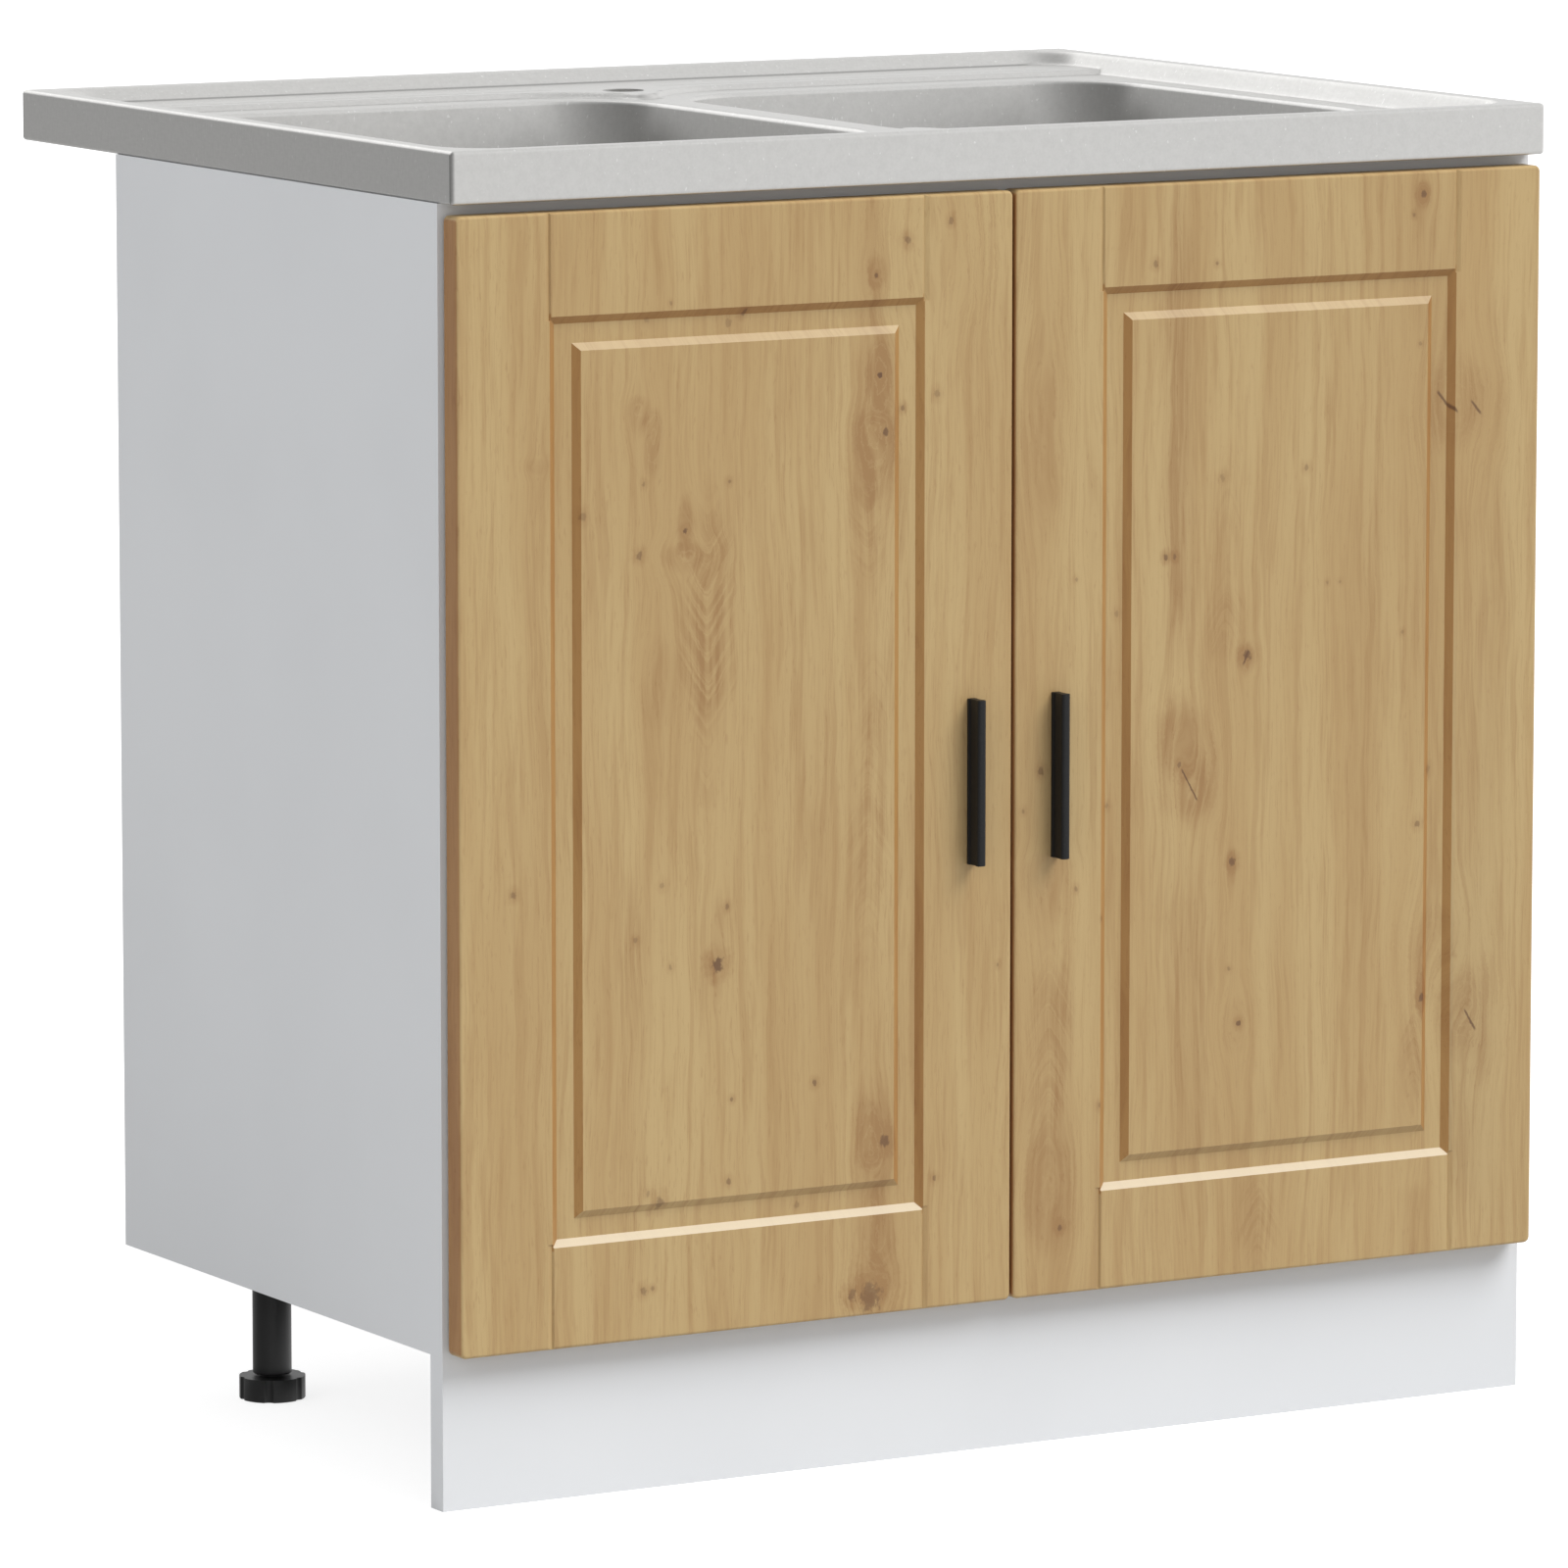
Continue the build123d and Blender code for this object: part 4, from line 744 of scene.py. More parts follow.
@dataclass(frozen=True)
class PlatedMetal(Finish):
    """A plated or cast fitting."""

    plating: Plating
    mark_dim: float = 0.78
    marks_per_mm: float = 0.9
    mark_depth: float = 0.03
    flowers_per_mm: float = 0.22

    def write(self, graph: Graph) -> None:
        """Writes the metal: Voronoi cells are the zinc flowers, and fine noise is handling marks.

        Args:
            graph: the material's empty node tree.
        """
        colour, roughness, flowers = self.plating.value
        point = graph.place()
        marks = graph.noise(point, self.marks_per_mm, 3.0, 0.65)
        place = graph.scaled(point, (self.flowers_per_mm,) * 3)
        values = {"Vector": place, "Scale": 1.0}
        cell = graph.node("ShaderNodeTexVoronoi", {"feature": "F1"}, values, "Color")
        tint = graph.parts(cell)[0]
        shade = marks.rise(0.4, 0.75) * 0.35 + tint * (0.6 * flowers)
        graph.surface(
            {
                "Base Color": graph.mixed(shade, colour, dimmed(colour, self.mark_dim)),
                "Metallic": 1.0,
                "Roughness": roughness + 0.12 * marks + 0.1 * flowers * tint,
                "Normal": graph.bump(marks, self.mark_depth, 0.3),
            }
        )


@dataclass(frozen=True)
class PlainBeech(Finish):
    """Unfinished beech with short flecks."""

    colour: Colour = (0.62, 0.42, 0.24)
    fleck_dim: float = 0.7
    fleck_depth: float = 0.05
    roughness: float = 0.6

    def write(self, graph: Graph) -> None:
        """Writes the beech: its flecks are noise drawn out along the dowel.

        Args:
            graph: the material's empty node tree.
        """
        fleck = graph.noise(graph.place(), (0.25, 1.4, 1.4), 3.0, 0.6)
        darker = dimmed(self.colour, self.fleck_dim)
        graph.surface(
            {
                "Base Color": graph.mixed(fleck.rise(0.4, 0.75), self.colour, darker),
                "Roughness": self.roughness + 0.1 * fleck,
                "Normal": graph.bump(fleck, self.fleck_depth, 0.4),
            }
        )


# ------------------------------------------------------------------ surfaces


def rounded_path(corners: Sequence[tuple[float, float, float]], steps: int) -> Faced:
    """Points and left-hand normals along straight runs joined by arcs.

    At each corner of radius r the arc starts r times the tangent of half the turn before it. A
    corner with r = 0 stays sharp and gives two points with two normals.

    Args:
        corners: (across, up, radius); the first and last radius aren't used.
        steps: how many pieces an arc has.

    Returns:
        Points and unit normals, each (n, 2).
    """
    at = np.array([corner[:2] for corner in corners], float)
    way = np.diff(at, axis=0)
    way /= np.linalg.norm(way, axis=1)[:, None]
    left = np.stack([-way[:, 1], way[:, 0]], axis=1)
    points, normals = [at[:1]], [left[:1]]
    for i in range(1, len(corners) - 1):
        before, after, radius = way[i - 1], way[i], corners[i][2]
        turn = math.atan2(before[0] * after[1] - before[1] * after[0], float(before @ after))
        tangent = radius * math.tan(abs(turn) / 2)
        angle = turn * np.linspace(0, 1, steps + 1) if radius else np.array([0.0, turn])
        base = left[i - 1]
        cos, sin = np.cos(angle), np.sin(angle)
        facing = np.stack([base[0] * cos - base[1] * sin, base[0] * sin + base[1] * cos], axis=1)
        side = math.copysign(1.0, turn)
        centre = at[i] - before * tangent + side * radius * base
        points.append(centre - side * radius * facing)
        normals.append(facing)
    points.append(at[-1:])
    normals.append(left[-1:])
    return np.vstack(points), np.vstack(normals)


def rounded_outline(half: np.ndarray, radius: float, arc: int, side: int) -> Faced:
    """Points and outward normals round a rectangle with rounded corners, anticlockwise, not closed.

    Each point is its place on the rectangle of the corners' centres plus the radius along its
    normal, which is fixed along a side and turns through 90 degrees in a corner.

    Args:
        half: half the width and half the depth.
        radius: the corner radius.
        arc: pieces to a corner.
        side: pieces to a straight side.

    Returns:
        Points and normals, each (n, 2), with n the same for every size.
    """
    centres = np.array([[1, -1], [1, 1], [-1, 1], [-1, -1]], float) * (half - radius)
    share, turn = np.linspace(0, 1, side + 1)[:-1, None], np.linspace(0, 90, arc + 1)[:-1]
    places, angles = [], []
    for quarter, (start, end) in enumerate(zip(centres, np.roll(centres, -1, axis=0))):
        places += [start + (end - start) * share, np.repeat(end[None], arc, axis=0)]
        angles += [np.full(side, quarter * 90.0), quarter * 90.0 + turn]
    angle = np.radians(np.concatenate(angles))
    normal = np.stack([np.cos(angle), np.sin(angle)], axis=1)
    return np.vstack(places) + normal * radius, normal


def raised(flat: np.ndarray, up: np.ndarray) -> np.ndarray:
    """Rows of flat points (rows, n, 2) with a third coordinate, one for each row."""
    return np.concatenate([flat, np.broadcast_to(up[:, None, None], (*flat.shape[:2], 1))], axis=-1)


def unit(way: np.ndarray) -> np.ndarray:
    """The same directions with length 1."""
    return way / np.linalg.norm(way, axis=-1, keepdims=True)


def grid_faces(rows: int, columns: int, closed: bool = False) -> np.ndarray:
    """The four-cornered faces of a grid of points laid out row after row.

    Args:
        rows: number of rows.
        columns: points to a row.
        closed: whether each row joins its own start.

    Returns:
        Corner numbers, (n, 4).
    """
    start = np.arange(rows - 1)[:, None] * columns
    here = np.arange(columns if closed else columns - 1)[None, :]
    there = (here + 1) % columns
    corners = [start + here, start + there, start + columns + there, start + columns + here]
    return np.stack(corners, axis=-1).reshape(-1, 4)


class Skin:
    """Gathers patches with exact normals and makes one closed mesh of them."""

    def __init__(self) -> None:
        """Starts with no patches."""
        self.points: list[np.ndarray] = []
        self.normals: list[np.ndarray] = []
        self.faces: list[np.ndarray] = []
        self.count = 0

    def add(self, points: np.ndarray, normals: np.ndarray, faces: np.ndarray) -> None:
        """Adds a patch.

        Args:
            points: its points, in any layout whose last axis is x, y, z.
            normals: the way that each point faces, in the same layout.
            faces: corner numbers within the patch, (m, 4).
        """
        self.points.append(points.reshape(-1, 3))
        self.normals.append(normals.reshape(-1, 3))
        self.faces.append(faces + self.count)
        self.count += len(self.points[-1])

    def piece(self, name: str, finish: bpy.types.Material) -> bpy.types.Object:
        """Makes the mesh.

        Points closer than a ten-thousandth of a millimetre become one, a face with two corners at
        one point loses one of them, and each face is turned to the side that its normals face.

        Args:
            name: the object's name.
            finish: its material.

        Returns:
            The new object, at the origin.
        """
        points, normals = np.vstack(self.points), np.vstack(self.normals)
        normals = normals / np.maximum(np.linalg.norm(normals, axis=1), 1e-9)[:, None]
        faces = np.vstack(self.faces)
        across = points[faces[:, 2]] - points[faces[:, 0]]
        along = points[faces[:, 3]] - points[faces[:, 1]]
        facing = normals[faces].sum(axis=1)
        wrong = np.einsum("ij,ij->i", np.cross(across, along), facing) < 0
        faces[wrong] = faces[wrong][:, ::-1]
        keys = np.round(points * 1e4).astype(np.int64)
        _, first, index = np.unique(keys, axis=0, return_index=True, return_inverse=True)
        corner = index.reshape(-1)[faces]
        kept = corner != np.roll(corner, 1, axis=1)
        crossed = (corner[:, 0] == corner[:, 2]) | (corner[:, 1] == corner[:, 3])
        whole = (kept.sum(axis=1) >= 3) & ~crossed
        corner, kept, faces = corner[whole], kept[whole], faces[whole]
        totals = kept.sum(axis=1)
        used, loops = np.unique(corner[kept], return_inverse=True)
        places = points[first][used] * MM
        mesh = bpy.data.meshes.new(name)
        mesh.vertices.add(len(places))
        mesh.vertices.foreach_set("co", places.astype(np.float32).ravel())
        mesh.loops.add(len(loops))
        mesh.loops.foreach_set("vertex_index", loops.astype(np.int32).ravel())
        mesh.polygons.add(len(totals))
        starts = np.cumsum(totals) - totals
        mesh.polygons.foreach_set("loop_start", starts.astype(np.int32))
        mesh.polygons.foreach_set("use_smooth", np.ones(len(totals), bool))
        mesh.update(calc_edges=True)
        mesh.normals_split_custom_set(normals[faces][kept].tolist())
        mesh.materials.append(finish)
        made = bpy.data.objects.new(name, mesh)
        bpy.context.scene.collection.objects.link(made)
        return made


def rounded_distance(
    x: np.ndarray, y: np.ndarray, half_x: float, half_y: float, radius: float
) -> np.ndarray:
    """How far places are from the edge of a rounded rectangle about the middle.

    Args:
        x: places across.
        y: places along.
        half_x: half its width.
        half_y: half its depth.
        radius: its corner radius.

    Returns:
        The distances, negative inside.
    """
    over_x, over_y = np.abs(x) - half_x + radius, np.abs(y) - half_y + radius
    outside = np.hypot(np.maximum(over_x, 0), np.maximum(over_y, 0))
    return outside + np.minimum(np.maximum(over_x, over_y), 0) - radius


def soft_lower(a: np.ndarray, b: np.ndarray, blend: float) -> np.ndarray:
    """The lower of two heights, with a rounded change from one to the other within blend."""
    near = np.maximum(blend - np.abs(a - b), 0) / blend
    return np.minimum(a, b) - near * near * blend / 4


def smooth_step(value: np.ndarray) -> np.ndarray:
    """A smooth step from 0 to 1: t * t * (3 - 2 t)."""
    t = np.clip(value, 0, 1)
    return t * t * (3 - 2 * t)


def grid_lines(*spans: tuple[float, float, float]) -> np.ndarray:
    """Lays out lines about a step apart from one place to another, mirrored about 0.

    Args:
        spans: (from, to, step) for each stretch.

    Returns:
        The lines' places in order.
    """
    runs = [np.linspace(a, b, max(2, round((b - a) / step) + 1)) for a, b, step in spans]
    half = np.unique(np.round(np.concatenate(runs), 6))
    return np.unique(np.concatenate([-half, half]))


def between(values: np.ndarray, low: float, high: float) -> np.ndarray:
    """The values from low to high, both ends counted in."""
    return values[(values >= low - 1e-6) & (values <= high + 1e-6)]


# ------------------------------------------------------------------ the sink


@dataclass
class SinkDeck:
    """The pressed top of the sink with its folded apron.

    Heights are above the floor, and other places are measured from the sink's middle. Rounded
    rectangles are half width, half depth and corner radius.
    """

    finish: bpy.types.Material
    half_x: float = 400.0
    half_y: float = 300.0
    rim_z: float = 846.0
    land_z: float = 833.5
    ledge_rise: float = 3.5
    rim_inner: tuple[float, float, float] = (387.0, 287.0, 34.0)
    wall_foot: tuple[float, float, float] = (379.5, 272.0, 26.5)
    rim_blend: float = 2.4
    foot_blend: float = 2.0
    ledge_edge: float = 218.0
    shoulder: tuple[float, float, float] = (84.0, 128.0, 90.0)
    tip: tuple[float, float] = (177.5, 7.5)
    step_run: float = 5.5
    groove_rows: tuple[float, ...] = (231.0, 256.0)
    groove_ends: tuple[float, float] = (43.5, 343.5)
    groove_half: float = 5.2
    groove_depth: float = 1.2
    fold: float = 2.5
    fold_pieces: int = 6
    apron_foot: float = 813.0
    lip: float = 16.0
    sheet: float = 1.0
    bowl_hole: tuple[float, float, float] = (175.75, 190.0, 67.0)
    bowl_frame: tuple[float, float, float] = (3.0, 369.5, 191.0)
    bowl_rings: int = 18
    tap_y: float = 206.0
    tap_radius: float = 14.0
    tap_frame: tuple[float, float, float] = (22.0, 191.0, 228.0)
    tap_rings: int = 5

    def ledge_distance(self, x: np.ndarray, y: np.ndarray) -> np.ndarray:
        """Measures how far places are from a ledge.

        The ledge's edge is straight at ledge_edge, turns in round the shoulder circle and meets the
        small circle of the tip. The line through both centres parts the two arcs.

        Args:
            x: places across.
            y: places along.

        Returns:
            The distance towards the bowls, negative on the ledge.
        """
        across, along = np.abs(x), np.abs(y)
        (wide_x, wide_y, wide), (small_y, small) = self.shoulder, self.tip
        beyond = wide_x * (along - small_y) - (wide_y - small_y) * across >= 0
        tip = np.hypot(across, along - small_y) - small
        arc = wide - np.hypot(across - wide_x, along - wide_y)
        straight = across > wide_x
        shoulder = np.where(straight, self.ledge_edge - along, arc)
        return np.where(beyond | straight, shoulder, tip)

    def height(self, x: np.ndarray, y: np.ndarray) -> np.ndarray:
        """Works out the top face.

        The wall falls evenly from the rim's inner edge to its foot. The lower of wall and rim, and
        the higher of that and the floor, each with a rounded change, give the face. The floor is
        the land plus a smooth step up to the ledges, less the grooves, whose section is half a
        cosine wave.

        Args:
            x: places across.
            y: places along.

        Returns:
            The heights.
        """
        inner = rounded_distance(x, y, *self.rim_inner)
        foot = rounded_distance(x, y, *self.wall_foot)
        fall = (self.rim_z - self.land_z) / np.maximum(foot - inner, 1e-6)
        wall = self.rim_z + fall * inner
        step = smooth_step(self.ledge_distance(x, y) / self.step_run)
        floor = self.land_z + self.ledge_rise * (1 - step)
        near, far = self.groove_ends
        past = np.maximum(np.maximum(near - np.abs(x), np.abs(x) - far), 0)
        for row in self.groove_rows:
            away = np.clip(np.hypot(past, y - row) / self.groove_half, 0, 1)
            floor = floor - self.groove_depth * (0.5 + 0.5 * np.cos(np.pi * away))
        lowered = soft_lower(wall, np.full_like(wall, self.rim_z), self.rim_blend)
        return -soft_lower(-lowered, -floor, self.foot_blend)

    def top(self, x: np.ndarray, y: np.ndarray, reach: float = 0.05) -> Faced:
        """Places points on the top face.

        Args:
            x: places across.
            y: places along.
            reach: how far to each side the slope is taken.

        Returns:
            The points in the cabinet's frame, and the way that they face.
        """
        ahead, behind = self.height(x + reach, y), self.height(x - reach, y)
        slope_x = (ahead - behind) / (2 * reach)
        ahead, behind = self.height(x, y + reach), self.height(x, y - reach)
        slope_y = (ahead - behind) / (2 * reach)
        normal = unit(np.stack([-slope_x, -slope_y, np.ones_like(slope_x)], axis=-1))
        return np.stack([x, y + SINK_Y, self.height(x, y)], axis=-1), normal

    def both_faces(self, skin: Skin, x: np.ndarray, y: np.ndarray, faces: np.ndarray) -> None:
        """Adds the top face over some points, and the underside one sheet below it.

        Args:
            skin: where they are added.
            x: places across.
            y: places along.
            faces: corner numbers.
        """
        points, normals = self.top(x.ravel(), y.ravel())
        skin.add(points, normals, faces)
        skin.add(points - normals * self.sheet, -normals, faces)

    def ring_patch(
        self, skin: Skin, frame: np.ndarray, hole: np.ndarray, centre: np.ndarray, rings: int
    ) -> None:
        """Fills between a closed frame of points and a hole's edge, and adds the hole's cut wall.

        Args:
            skin: where they are added.
            frame: points round the frame, (n, 2).
            hole: the point on the hole's edge for each of them.
            centre: the hole's middle.
            rings: how many rings of points there are.
        """
        share = np.linspace(0, 1, rings)[:, None, None]
        at = frame[None] * (1 - share) + hole[None] * share
        self.both_faces(skin, at[..., 0], at[..., 1], grid_faces(rings, len(frame), closed=True))
        points, normals = self.top(hole[:, 0], hole[:, 1])
        inward = raised((centre - hole)[None], np.zeros(1))[0]
        wall = np.stack([points, points - normals * self.sheet])
        skin.add(wall, np.stack([inward, inward]), grid_faces(2, len(hole), closed=True))

    @staticmethod
    def frame_loop(xs: np.ndarray, ys: np.ndarray) -> np.ndarray:
        """Walks round a rectangle of grid lines.

        Args:
            xs: the lines across.
            ys: the lines along.

        Returns:
            Its points, anticlockwise from the lower left corner.
        """
        sides = [
            (xs[:-1], np.full(len(xs) - 1, ys[0])),
            (np.full(len(ys) - 1, xs[-1]), ys[:-1]),
            (xs[:0:-1], np.full(len(xs) - 1, ys[-1])),
            (np.full(len(ys) - 1, xs[0]), ys[:0:-1]),
        ]
        return np.concatenate([np.stack(side, axis=1) for side in sides])

    def apron(self, skin: Skin, xs: np.ndarray, ys: np.ndarray) -> None:
        """Sweeps the folded edge round the sink.

        The section is carried along the grid's outer loop. Out from the loop it follows the outward
        direction, which turns through a quarter circle at each corner. Inwards each point is held
        within the rectangle at that distance, which gives mitred corners.

        Args:
            skin: where it is added.
            xs: the grid's lines across.
            ys: the grid's lines along.
        """
        loop = self.frame_loop(xs, ys)
        base, angles, start = [], [], 0
        for side, pieces in enumerate([len(xs) - 1, len(ys) - 1] * 2):
            run = np.take(loop, np.arange(start, start + pieces + 1), axis=0, mode="wrap")
            turn = side * 90.0 - 90.0
            corner = turn + np.linspace(0, 90, self.fold_pieces + 1)[1:-1]
            base += [run, np.repeat(run[-1:], len(corner), axis=0)]
            angles += [np.full(len(run), turn), corner]
            start += pieces
        angle = np.radians(np.concatenate(angles))
        base, facing = np.vstack(base), np.stack([np.cos(angle), np.sin(angle)], axis=1)
        out, top, foot, sheet = self.fold, self.rim_z, self.apron_foot, self.sheet
        back = out - self.lip
        section = [
            (0, top, 0),
            (out, top, out),
            (out, foot, out),
            (back, foot, 0),
            (back, foot + sheet, 0),
            (out - sheet, foot + sheet, out - sheet),
            (out - sheet, top - sheet, out - sheet),
            (0, top - sheet, 0),
        ]
        points, normals = rounded_path(section, self.fold_pieces + 1)
        away = points[:, :1, None]
        limit = np.array([self.half_x, self.half_y]) - self.fold + np.minimum(away, 0)
        flat = base[None] + facing[None] * np.maximum(away, 0)
        flat = np.where(away < 0, np.clip(base[None], -limit, limit), flat)
        at = raised(flat, points[:, 1])
        at[..., 1] += SINK_Y
        way = raised(facing[None] * normals[:, :1, None], normals[:, 1])
        skin.add(at, way, grid_faces(len(points), len(base), closed=True))

    def grid(self) -> tuple[np.ndarray, np.ndarray]:
        """Lays out the deck's grid: fine over the slopes and grooves, coarse over the flats.

        Returns:
            The lines across and along.
        """
        low, high, _ = self.bowl_frame
        tap_x, tap_low, tap_high = self.tap_frame
        end_x, end_y = self.half_x - self.fold, self.half_y - self.fold
        across = [(0, low, 3), (low, tap_x, 3.2), (tap_x, 112, 3), (112, 300, 14)]
        across += [(300, high, 5), (high, 390, 1.2), (390, end_x, 2.5)]
        along = [(0, 120, 15), (120, 156, 4), (156, tap_low, 1.75), (tap_low, tap_high, 1.9)]
        along += [(tap_high, 264, 1.35), (264, 290, 1.5), (290, end_y, 2.5)]
        return grid_lines(*across), grid_lines(*along)

    def bowl_edge(self, frame: np.ndarray, centre: np.ndarray) -> np.ndarray:
        """Finds the point of a bowl's hole that is nearest to each point of its frame.

        Args:
            frame: points round the bowl, (n, 2).
            centre: the bowl's middle.

        Returns:
            The points on the hole's edge.
        """
        half_x, half_y, radius = self.bowl_hole
        core = np.array([half_x - radius, half_y - radius])
        local = frame - centre
        nearest = np.clip(local, -core, core)
        return centre + nearest + unit(local - nearest) * radius

    def build(self) -> bpy.types.Object:
        """Makes the deck: a grid with two bowl holes and a tap hole, and the apron round it.

        Returns:
            The new piece.
        """
        skin = Skin()
        xs, ys = self.grid()
        low, high, reach = self.bowl_frame
        tap_x, tap_low, tap_high = self.tap_frame
        grid_x, grid_y = np.meshgrid(xs, ys)
        at = np.stack([grid_x.ravel(), grid_y.ravel()])
        faces = grid_faces(len(ys), len(xs))
        x, y = (at[:, faces[:, 0]] + at[:, faces[:, 2]]) / 2
        over_bowl = (np.abs(x) > low) & (np.abs(x) < high) & (np.abs(y) < reach)
        over_tap = (np.abs(x) < tap_x) & (y > tap_low) & (y < tap_high)
        self.both_faces(skin, grid_x, grid_y, faces[~(over_bowl | over_tap)])
        for side in (-1, 1):
            span = sorted((side * low, side * high))
            frame = self.frame_loop(between(xs, *span), between(ys, -reach, reach))
            centre = np.array([side * BOWL_X, 0.0])
            self.ring_patch(skin, frame, self.bowl_edge(frame, centre), centre, self.bowl_rings)
        frame = self.frame_loop(between(xs, -tap_x, tap_x), between(ys, tap_low, tap_high))
        centre = np.array([0.0, self.tap_y])
        edge = centre + unit(frame - centre) * self.tap_radius
        self.ring_patch(skin, frame, edge, centre, self.tap_rings)
        self.apron(skin, xs, ys)
        made = skin.piece("sink_deck_pressing", self.finish)
        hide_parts("sink_deck")
        return made


@dataclass
class Bowl:
    """One deep-drawn bowl with its lip and drain dish."""

    name: str
    centre_x: float
    finish: bpy.types.Material
    half: tuple[float, float] = (170.75, 185.0)
    corner: float = 62.0
    corner_pieces: int = 20
    side_pieces: int = 6
    lip_z: float = 833.45
    lip_out: float = 5.8
    lip_in: float = 0.7
    lip_radius: float = 3.2
    draft: float = 8.0
    floor_radius: float = 22.0
    floor_run: float = 24.0
    floor_z: float = 695.0
    dish_z: float = 692.0
    dish_radius: float = 42.0
    dish_slope: float = 5.5
    hole_radius: float = 26.0
    sheet: float = 1.0

    def walls(self) -> Faced:
        """Carries the section from the lip to the floor round the outline.

        The wall leans in by the draft angle; the lip and the floor's edge are arcs tangent to it.

        Returns:
            Rings of points from the bowl's middle, and the way that they face.
        """
        foot = (self.lip_z - self.floor_z) * math.tan(math.radians(self.draft))
        path = [
            (-self.lip_out, self.lip_z, 0.0),
            (-self.lip_in, self.lip_z, self.lip_radius),
            (foot - self.lip_in, self.floor_z, self.floor_radius),
            (foot + self.floor_run, self.floor_z, 0.0),
        ]
        section, facing = rounded_path(path, 12)
        half, pieces = np.array(self.half), (self.corner_pieces, self.side_pieces)
        insets = section[:, 0]
        rings = [rounded_outline(half - inset, self.corner - inset, *pieces) for inset in insets]
        flat, normal = np.array(rings).swapaxes(0, 1)
        return raised(flat, section[:, 1]), raised(-normal * facing[:, :1, None], facing[:, 1])

    def floor(self, edge: np.ndarray) -> Faced:
        """Closes the floor from the wall's foot to the hole.

        Six rings turn from the outline's shape to the dish's circle. Eight go down the dish's
        slope, whose depth is a smooth step, and two lie flat up to the hole.

        Args:
            edge: the last ring of the wall, (n, 2).

        Returns:
            Rings of points from the bowl's middle, and the way that they face.
        """
        outward = unit(edge)
        share = np.linspace(0, 1, 7)[1:, None, None]
        turning = edge * (1 - share) + outward * self.dish_radius * share
        down = np.linspace(0, 1, 9)[1:]
        slope_end = self.dish_radius - self.dish_slope
        flat = np.linspace(slope_end, self.hole_radius, 3)[1:]
        radius = np.concatenate([self.dish_radius - self.dish_slope * down, flat])
        t = np.concatenate([down, np.ones(len(flat))])
        depth = self.floor_z - self.dish_z
        slope = depth * 6 * t * (1 - t) / self.dish_slope
        circles = outward * radius[:, None, None]
        level = np.zeros(len(turning))
        z = self.floor_z - np.concatenate([level, depth * smooth_step(t)])
        lean = np.concatenate([level, slope])[:, None, None]
        rings = raised(np.vstack([turning, circles]), z)
        return rings, raised(-outward * lean, np.ones(len(z)))

    def build(self) -> bpy.types.Object:
        """Makes the bowl as one sheet with an inner and an outer face, closed at lip and hole.

        Returns:
            The new piece.
        """
        walls, walls_face = self.walls()
        floor, floor_faces = self.floor(walls[-1, :, :2])
        inside, way = np.vstack([walls, floor]), unit(np.vstack([walls_face, floor_faces]))
        outward = raised(unit(inside[-1:, :, :2]), np.zeros(1))[0]
        inside += [self.centre_x, SINK_Y, 0.0]
        outside = inside - way * self.sheet
        skin = Skin()
        faces = grid_faces(*inside.shape[:2], closed=True)
        skin.add(inside, way, faces)
        skin.add(outside, -way, faces)
        for end, rim in ((0, outward), (-1, -outward)):
            ring = np.stack([inside[end], outside[end]])
            skin.add(ring, np.stack([rim, rim]), grid_faces(2, len(rim), closed=True))
        made = skin.piece(f"{self.name}_drawn", self.finish)
        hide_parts(self.name)
        return made


# ------------------------------------------------------------------ the handles


@dataclass
class BarHandle:
    """A slim upright bar on a thin foot."""

    name: str
    centre_x: float
    finish: bpy.types.Material
    low_z: float = 381.55
    high_z: float = 487.05
    edge: float = 0.45

    @staticmethod
    def half_section() -> Faced:
        """Draws the right half of the section, from the crown to the foot.

        Returns:
            Points (across, out from the door) and outward normals.
        """
        path = [
            (0.0, 14.0, 0.0),
            (1.9, 13.95, 2.5),
            (3.0, 12.9, 1.1),
            (3.0, 10.4, 0.4),
            (2.3, 9.9, 0.3),
            (2.3, 2.4, 0.3),
            (3.0, 2.4, 0.3),
            (3.0, 0.0, 0.0),
            (0.0, 0.0, 0.0),
        ]
        return rounded_path(path, 5)

    def build(self) -> bpy.types.Object:
        """Carries the section up the bar.

        At each end it draws in along its normals as it goes round a quarter circle, and a ladder of
        faces between left and right closes it.

        Returns:
            The new piece.
        """
        half, facing = self.half_section()
        mirror, outward = np.array([-1.0, 1.0]), np.array([1.0, -1.0])
        section = np.vstack([half, half[::-1] * mirror])
        normal = np.vstack([facing, facing[::-1] * mirror])
        quarter = np.radians(np.linspace(0, 90, 5))
        drawn = self.edge * (1 - np.cos(quarter))
        short = self.edge * (1 - np.sin(quarter))
        level = np.concatenate([self.low_z + short[::-1], self.high_z - short])
        tilt = np.concatenate([-np.sin(quarter)[::-1], np.sin(quarter)])
        drawn = np.concatenate([drawn[::-1], drawn])[:, None, None]
        level_share = np.sqrt(np.maximum(1 - tilt * tilt, 0))[:, None, None]
        points = raised((section - normal * drawn) * outward + [self.centre_x, DOOR_Y], level)
        way = raised(normal * outward * level_share, tilt)
        skin = Skin()
        skin.add(points, way, grid_faces(len(level), len(section), closed=True))
        count = len(half)
        rung = np.arange(count - 1)
        across = 2 * count - 1 - rung
        ladder = np.stack([rung, rung + 1, across - 1, across], axis=1)
        for row, up in ((0, -1.0), (-1, 1.0)):
            skin.add(points[row], np.tile([0.0, 0.0, up], (len(section), 1)), ladder)
        made = skin.piece(f"{self.name}_bar", self.finish)
        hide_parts(self.name)
        return made


# ------------------------------------------------------------------ the CAD nodes that stay


